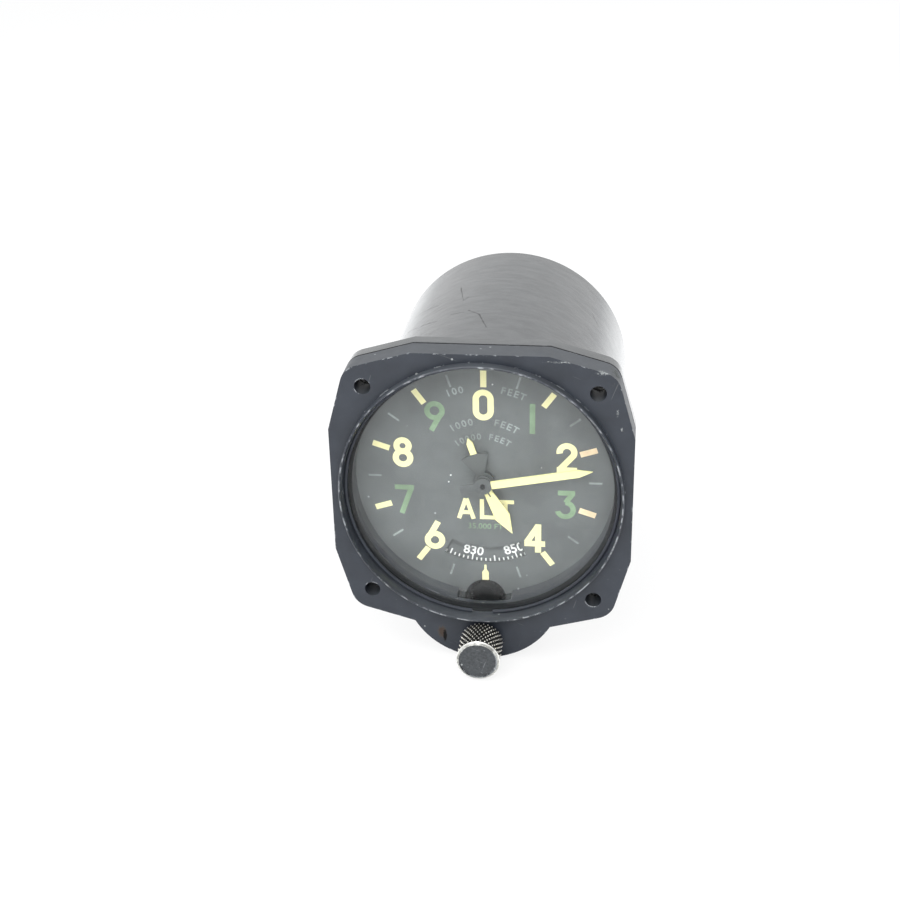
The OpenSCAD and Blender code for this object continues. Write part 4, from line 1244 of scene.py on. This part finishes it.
@dataclass
class Knob:
    """The knurled setting knob, in millimetres.

    Attributes:
        chamfer: Slope at the rim.
        edge: Width of the flat rim.
        dish: Depth of the face inside the rim.
        dish_slope: How far the dish's wall leans.
        teeth: Points of the knurl round the knob.
        rows: Rows of points along the knob.
        groove: Depth of the knurl.
        play: Gap round the grub screw.
        inset: How far the rim stays inside the points.
        rounding: Rounding of the rim's front edge: back, out and in.
        sides: Corners of the rim and the face.
        drill_sides: Corners of the grub screw's hole.
        smooth: Angle in degrees up to which the rim is shaded smooth.
    """

    chamfer: float = 0.7
    edge: float = 0.28
    dish: float = 0.25
    dish_slope: float = 0.03
    teeth: int = 30
    rows: int = 9
    groove: float = 0.55
    play: float = 0.03
    inset: float = 0.02
    rounding: tuple[float, float, float] = (0.1, 0.05, 0.06)
    sides: int = 96
    drill_sides: int = 32
    smooth: float = 28.0

    def __post_init__(self) -> None:
        """Takes the knob's place and size from the frame."""
        low, high = (Vector(corner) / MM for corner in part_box("setting_knob"))
        self.axis = Vector((low.x + high.x, 0, low.z + high.z)) * (MM / 2)
        self.radius = (high.x - low.x) / 2
        self.face = low.y
        self.back = high.y
        self.rim = self.radius - self.chamfer - self.edge
        self.first_row = self.back - self.chamfer
        self.last_row = self.face + self.chamfer

    def _turned(self, profile: Sequence[Point], sides: int, closed: bool) -> Obj:
        """Extrudes a circle along the knob's axis.

        Args:
            profile: (y, radius) of each ring.
            sides: Corners of the circle.
            closed: Whether both ends are filled.

        Returns:
            The turned piece.
        """
        obj = Bench.added(
            bpy.ops.mesh.primitive_circle_add,
            vertices=sides,
            radius=profile[0][1] * MM,
            fill_type="NGON" if closed else "NOTHING",
            location=self.axis + Vector((0, profile[0][0] * MM, 0)),
            rotation=(math.radians(90), 0, 0),
        )
        move = bpy.ops.mesh.extrude_region_move if closed else bpy.ops.mesh.extrude_edges_move
        with Bench.editing(Bench.settle(obj), "FACE" if closed else "EDGE"):
            for (y0, r0), (y1, r1) in zip(profile, profile[1:]):
                move(TRANSFORM_OT_translate={"value": (0, (y1 - y0) * MM, 0)})
                pivot = self.axis + Vector((0, y1 * MM, 0))
                bpy.ops.transform.resize(value=(r1 / r0, 1, r1 / r0), center_override=pivot)
            bpy.ops.mesh.select_all(action="SELECT")
            bpy.ops.mesh.normals_make_consistent(inside=False)
        return obj

    def _is_root(self, vertex: bpy.types.MeshVertex) -> bool:
        """Says whether a corner of the sleeve lies in a groove.

        Args:
            vertex: The corner.

        Returns:
            True for every other corner of each row.
        """
        y = vertex.co.y / MM
        row = round((y - self.first_row) / (self.last_row - self.first_row) * self.rows)
        turn = math.atan2(vertex.co.x - self.axis.x, vertex.co.z - self.axis.z)
        column = round(turn / math.pi * self.teeth)
        at_back = abs(y - self.back) < self.chamfer / 2
        return not at_back and (row + column) % 2 == 0

    def _knurl(self) -> Obj:
        """Turns the sleeve and pushes every other corner in, which leaves rows of points.

        Returns:
            The sleeve.
        """
        pitch = (self.last_row - self.first_row) / self.rows
        rings = [(self.first_row + pitch * i, self.radius) for i in range(self.rows + 1)]
        obj = self._turned([(self.back, self.radius - self.chamfer), *rings], 2 * self.teeth, True)
        share = 1 - self.groove / self.radius
        with Bench.editing(obj, "VERT", self._is_root):
            bpy.ops.transform.resize(value=(share, 1, share), center_override=self.axis)
            bpy.ops.mesh.select_all(action="SELECT")
            bpy.ops.mesh.quads_convert_to_tris(quad_method="SHORTEST_DIAGONAL")
        return obj

    def _drill(self, obj: Obj) -> None:
        """Cuts the grub screw's hole through the sleeve.

        Args:
            obj: The sleeve.
        """
        low, high = (Vector(corner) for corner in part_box("knob_grub_screw"))
        middle = (low + high) / 2
        out = middle - self.axis - Vector((0, middle.y, 0))
        reach = self.radius * MM
        drill = Bench.added(
            bpy.ops.mesh.primitive_cylinder_add,
            vertices=self.drill_sides,
            radius=(high.y - low.y) / 2 + self.play * MM,
            depth=reach,
            location=middle + out.normalized() * (reach - (high - low).length / 4) / 2,
        )
        drill.rotation_euler = out.to_track_quat("Z", "Y").to_euler()
        Bench.settle(drill)
        Bench.only(obj)
        hole = obj.modifiers.new("hole", "BOOLEAN")
        hole.object = drill
        bpy.ops.object.modifier_apply(modifier=hole.name)
        Bench.only(drill)
        bpy.ops.object.delete()

    def _front(self) -> tuple[Obj, Obj]:
        """Turns the bright rim and the dished face.

        Returns:
            The rim and the face.
        """
        back, out, inward = self.rounding
        inner = self.radius - self.chamfer
        start = self.last_row
        rim = self._turned(
            [
                (start, self.radius - self.groove),
                (start, self.radius - self.inset),
                (self.face + back, inner + out),
                (self.face, inner - inward),
            ],
            self.sides,
            False,
        )
        Bench.only(rim)
        bpy.ops.object.shade_smooth_by_angle(angle=math.radians(self.smooth))
        face = self._turned(
            [
                (start, inner - inward),
                (self.face, inner - inward),
                (self.face, self.rim + self.dish_slope),
                (self.face + self.dish, self.rim),
            ],
            self.sides,
            True,
        )
        return rim, face

    def dress(self, shop: Shop) -> None:
        """Builds the knob in place of its CAD node.

        Args:
            shop: Hands the pieces over.
        """
        slot = "knob_paint"
        points = KnurlPaint(
            "knob_knurl",
            (0.008, 0.008, 0.007),
            rough=0.4,
            gloss=0.2,
            bare=(0.9, 0.88, 0.82),
            axis=tuple(self.axis),
            root=(self.radius - self.groove) * MM,
            crown=self.radius * MM,
        )
        bright = WornPaint(
            "knob_rim",
            (0.3, 0.3, 0.28),
            rough=0.34,
            mottle=0.6,
            blotch=900.0,
            bare=(0.75, 0.75, 0.72),
            wear=0.8,
        )
        knurl = self._knurl()
        self._drill(knurl)
        rim, face = self._front()
        for piece, name, finish in (
            (knurl, "knob_knurl", points),
            (rim, "knob_rim", bright),
            (face, "knob_face", shop.slots[slot]),
        ):
            shop.hand_over(piece, name, Body.KNOB.value, finish)
            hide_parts("setting_knob")


@dataclass
class Pointers:
    """The three pointers.

    Attributes:
        edge: Rounding of their edges in millimetres.
        rough: Roughness of their paint.
        paints: Feet, dark colour, angle, start of the luminous paint and end of the slit.
    """

    edge: float = 0.06
    rough: float = 0.6
    paints: tuple[tuple[int, Colour, float, float, float], ...] = (
        (100, (0.082, 0.089, 0.089), 79.2, 0.0024, 0.0),
        (1000, (0.082, 0.089, 0.089), 151.9, 0.0021, 0.0042),
        (10000, (0.07, 0.077, 0.075), -18.5, 0.0089, 0.0),
    )

    def dress(self, shop: Shop) -> None:
        """Rounds the pointers' edges and paints them.

        Args:
            shop: Hands the pieces over.
        """
        for feet, dark, turn, start, slit in self.paints:
            finish = PointerPaint(f"lume_{feet}", dark, self.rough, turn=turn, start=start, slit=slit)
            shop.stand_in(f"pointer_{feet}", self.edge, finish)


@dataclass
class Housing:
    """Bezel, case and the other pieces that show, with the rounding of their edges in millimetres."""

    edges: tuple[tuple[str, float], ...] = (
        ("bezel", 0.08),
        ("case_flange", 0.3),
        ("case_shell", 0.0),
        ("static_port", 0.12),
        ("case_screws", 0.12),
        ("dial_spacer_ring", 0.08),
        ("dial_plate", 0.06),
        ("glass_snap_ring", 0.0),
        ("setting_bush", 0.1),
        ("port_washer", 0.05),
    )
    ring: Finish = Finish("ring_paint", (0.026, 0.03, 0.039), rough=0.6, gloss=0.3)
    # Nearly black gasket and brass gear: painted shade for the parts that lie deep.
    gasket: Finish = Finish("gasket_rubber_painted_shade", (0.006, 0.006, 0.007), rough=0.8, gloss=0.1)
    gear: Finish = Metal("ring_brass_painted_shade", (0.03, 0.027, 0.023), rough=0.6)

    def dress(self, shop: Shop) -> None:
        """Rounds the edges of the pieces that show, and paints shade on what lies deep by darkening the
        gasket and the gear.

        Args:
            shop: Hands the pieces over.
        """
        shop.paint(frame["nodes"]["case_gasket"], self.gasket)
        shop.paint(frame["nodes"]["baro_gear"], self.gear)
        for node, width in self.edges:
            shop.stand_in(node, width, self.ring if node == "glass_snap_ring" else None)


@dataclass
class Studio:
    """Camera, floor, sky and lamps, in millimetres and degrees.

    Attributes:
        target: Point that the camera looks at.
        azimuth: Where the camera stands, to the right of the front.
        elevation: How far it looks down.
        roll: How far it leans.
        floor_size: Width of the floor in metres.
        floor_glow: Share of plain white in the floor that the camera sees.
        boxes: Name, place, size in metres and power of each lamp.
    """

    target: Sequence[float] = (-8.13, 0.0, 13.61)
    azimuth: float = 7.93
    elevation: float = 25.63
    roll: float = -1.34
    distance: float = 388.34
    lens: float = 57.43
    floor_gap: float = 0.2
    floor_size: float = 6.0
    floor_glow: float = 0.85
    boxes: tuple[tuple[str, Sequence[float], float, float], ...] = (
        ("soft_box_front", (-120, -650, 750), 0.8, 9.0),
        ("soft_box_left", (-700, -100, 800), 0.7, 5.0),
        ("soft_box_right", (650, 300, 900), 0.8, 5.0),
    )

    def camera(self) -> None:
        """Sets the camera as the photo was taken."""
        a, e, r = (math.radians(v) for v in (self.azimuth, self.elevation, self.roll))
        back = Vector((math.sin(a) * math.cos(e), -math.cos(a) * math.cos(e), math.sin(e)))
        level = Vector((math.cos(a), math.sin(a), 0))
        rise = back.cross(level)
        right = level * math.cos(r) + rise * math.sin(r)
        up = rise * math.cos(r) - level * math.sin(r)
        eye = (Vector(self.target) + back * self.distance) * MM
        camera = Bench.added(bpy.ops.object.camera_add)
        camera.name = "photo_camera"
        camera.matrix_world = Matrix.Translation(eye) @ Matrix((right, up, back)).transposed().to_4x4()
        camera.data.lens = self.lens
        camera.data.sensor_width = 36
        camera.data.clip_start = 0.01
        bpy.context.scene.camera = camera

    def ground(self) -> None:
        """Lays a white floor that keeps a light shadow."""
        low = (0, 0, CAD_BOX[0][2] - self.floor_gap * MM)
        plane = Bench.added(bpy.ops.mesh.primitive_plane_add, size=self.floor_size, location=low)
        Bench.settle(plane).name = "studio_floor"
        made = bpy.data.materials.new("studio_floor")
        graph = Graph.fresh(made)
        path = graph.add("ShaderNodeLightPath")
        seen = graph.math("MULTIPLY", path.outputs["Is Camera Ray"], self.floor_glow)
        matt = graph.add("ShaderNodeBsdfDiffuse", {0: (0.9, 0.9, 0.9, 1.0)})
        white = graph.add("ShaderNodeEmission", {0: (1.0, 1.0, 1.0, 1.0), 1: 1.0})
        mixed = graph.add("ShaderNodeMixShader", {0: seen, 1: matt.outputs[0], 2: white.outputs[0]})
        graph.add("ShaderNodeOutputMaterial", {"Surface": mixed.outputs[0]})
        plane.data.materials.append(made)

    def sky(self) -> None:
        """Fills the world with soft white light."""
        world = bpy.data.worlds.new("studio")
        bpy.context.scene.world = world
        graph = Graph.fresh(world)
        path = graph.add("ShaderNodeLightPath").outputs
        rays = (path[f"Is {kind} Ray"] for kind in ("Camera", "Transmission", "Glossy"))
        seen = reduce(lambda first, second: graph.math("MAXIMUM", first, second), rays)
        soft = graph.add("ShaderNodeBackground", {0: (0.97, 0.985, 1.0, 1.0), 1: 0.9})
        white = graph.add("ShaderNodeBackground", {0: (1.0, 1.0, 1.0, 1.0), 1: 1.0})
        mixed = graph.add("ShaderNodeMixShader", {0: seen, 1: soft.outputs[0], 2: white.outputs[0]})
        graph.add("ShaderNodeOutputWorld", {"Surface": mixed.outputs[0]})

    def lamps(self) -> None:
        """Hangs the soft boxes above the object."""
        for name, spot, size, power in self.boxes:
            place = Vector(spot) * MM
            lamp = Bench.added(bpy.ops.object.light_add, type="AREA", location=place)
            lamp.name = name
            lamp.rotation_euler = (-place).to_track_quat("-Z", "Y").to_euler()
            lamp.data.size = size
            lamp.data.energy = power

    def build(self) -> None:
        """Sets up the whole studio."""
        self.camera()
        self.ground()
        self.sky()
        self.lamps()
        bpy.context.scene.view_settings.view_transform = "Standard"


CUTS: tuple[tuple[Point, Point], ...] = (
    ((-21, 71), (-17, 57)),
    ((-17, 57), (-15, 59)),
    ((-13, 47), (-7, 42)),
    ((-7, 42), (-2, 31)),
    ((-31, 62), (-39, 66)),
    ((-39, 66), (-48, 70)),
    ((-21, 47), (-15, 46)),
    ((-56, 68), (-48, 68)),
    ((-50, 59), (-41, 53)),
    ((-38, 51), (-28, 46)),
    ((46, 75), (51, 70)),
)
PALE = (0.26, 0.275, 0.275)
CHIPS = (
    Stain((0.0327, 0.0, 0.0375), (0.0024, 0.0016, 0.001), PALE, 3000.0, 4.0),
    Stain((0.0222, 0.0, 0.0401), (0.0065, 0.0004, 0.0004), PALE, 2600.0, 5.0),
    Stain((0.0366, 0.0, 0.0262), (0.0005, 0.0008, 0.0013), PALE, 3000.0, 5.0),
    Stain((0.0378, 0.0, 0.0215), (0.0005, 0.0008, 0.0009), PALE, 3000.0, 5.0),
    Stain((0.0355, 0.0035, 0.0345), (0.0022, 0.0042, 0.0042), (0.06, 0.066, 0.064), 1200.0, 2.0),
)
RUST = (
    Stain((-0.0116, 0.0, -0.0446), (0.0018, 0.002, 0.003), (0.05, 0.036, 0.028), 1800.0, 1.6),
    Stain((-0.0108, 0.0, -0.0458), (0.0008, 0.002, 0.0028), (0.002, 0.0015, 0.0015), 1800.0, 0.8),
)


def hole_grime() -> tuple[Stain, ...]:
    """Paints shade, nearly black, into the panel screws' holes.

    Returns:
        One patch of painted shade for each hole.
    """
    screws = next(mount for mount in frame["record"]["mounts"] if mount["kind"] == "bolt_pattern")
    reach = screws["dims"]["pcd_mm"] * MM * math.sqrt(0.5) / 2
    return tuple(
        # Nearly black patches that paint the shade inside each screw hole.
        Stain((x * reach, 0.0125, z * reach), (0.0062, 0.0115, 0.0062), (0.003, 0.003, 0.003))
        for x, z in ((-1, 1), (1, 1), (-1, -1), (1, -1))
    )


def slot_finishes() -> dict[str, Finish]:
    """Lists the finishes of the record's material slots.

    Returns:
        The finish of each slot.
    """
    shaded_holes = hole_grime()
    made = (
        WornPaint(
            "bezel_paint",
            (0.0225, 0.0268, 0.0355),
            rough=0.44,
            gloss=0.32,
            wear=0.36,
            scratch=0.15,
            scratch_colour=(0.09, 0.095, 0.1),
            crest=-0.0024,
            dust=0.05,
            # Lighter tops: partly dust, partly painted light from above.
            settled=0.2,
            # Rust and chips, with painted shade inside the screw holes.
            stains=RUST + CHIPS + shaded_holes,
        ),
        WornPaint(
            "case_paint",
            (0.044, 0.048, 0.051),
            rough=0.24,
            mottle=0.1,
            blotch=140.0,
            bump=0.000002,
            gloss=0.2,
            haze=0.05,
            coat=0.9,
            brush=0.3,
            wear=0.3,
            scratch=0.0,
            scratch_colour=(0.006, 0.006, 0.006),
            can=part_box("case_shell")[1][0],
            cuts=CUTS,
            dust=0.0,
            # Painted shade inside the screw holes.
            stains=shaded_holes,
        ),
        WornPaint(
            "dial_paint",
            (0.115, 0.125, 0.125),
            rough=0.62,
            bump=0.000002,
            wear=0.0,
            scratch=0.36,
            scratch_colour=(0.15, 0.16, 0.16),
            dust=0.05,
        ),
        WornPaint("inner_black", (0.06, 0.065, 0.072), rough=0.55, wear=0.2, scratch=0.2),
        WornPaint("knob_paint", (0.034, 0.038, 0.042), gloss=0.4, mottle=0.35, blotch=1400.0, dust=0.4),
        Pane("glass", (0.97, 0.985, 0.985), rough=0.0, bump=0.000004, grain=300.0),
        Finish("rubber", (0.052, 0.057, 0.062), rough=0.8),
        Finish("scale_paint", (0.122, 0.131, 0.131), rough=0.6),
        # Blackened metal; where it shows in the dial's notch, its darkness also stands in as painted shade.
        Finish("blackened", (0.016, 0.017, 0.018), rough=0.7, gloss=0.15),
        Finish("pointer_cream", (0.9, 0.87, 0.5), rough=0.7),
        Finish("pointer_black", (0.022, 0.023, 0.025), rough=0.6),
        Metal("steel", (0.56, 0.57, 0.58), rough=0.32, tarnish=(0.2, 0.19, 0.18)),
        Metal("link_alloy", (0.72, 0.73, 0.74), rough=0.3, tarnish=(0.4, 0.4, 0.4)),
        Metal("brass", (0.72, 0.52, 0.24), rough=0.3),
        Metal("capsule_bronze", (0.66, 0.43, 0.24), rough=0.34),
        Metal("spring_blue", (0.12, 0.17, 0.38), rough=0.26),
    )
    return {finish.name: finish for finish in made}


INKS: dict[Ink, Finish] = {
    ink: Finish(f"ink_{ink.value}", colour, rough=0.75, mottle=mottle)
    for ink, colour, mottle in (
        (Ink.CREAM, (0.93, 0.87, 0.47), 0.07),
        (Ink.AMBER, (0.85, 0.65, 0.42), 0.2),
        (Ink.GREEN, (0.21, 0.31, 0.19), 0.25),
        (Ink.GREY, (0.25, 0.28, 0.265), 0.35),
        (Ink.WHITE, (0.9, 0.9, 0.88), 0.06),
    )
}


def main() -> None:
    """Builds the looks and the studio."""
    logging.basicConfig(level=logging.INFO, format="%(message)s")
    Effects().build()
    shop = Shop(slot_finishes(), INKS)
    shop.dress_nodes()
    for assembly in (Housing(), DialPrinting(), ScalePrinting(), Pointers(), Knob()):
        assembly.dress(shop)
        LOG.info("%s is dressed", type(assembly).__name__)
    Studio().build()


if __name__ == "__main__":
    main()
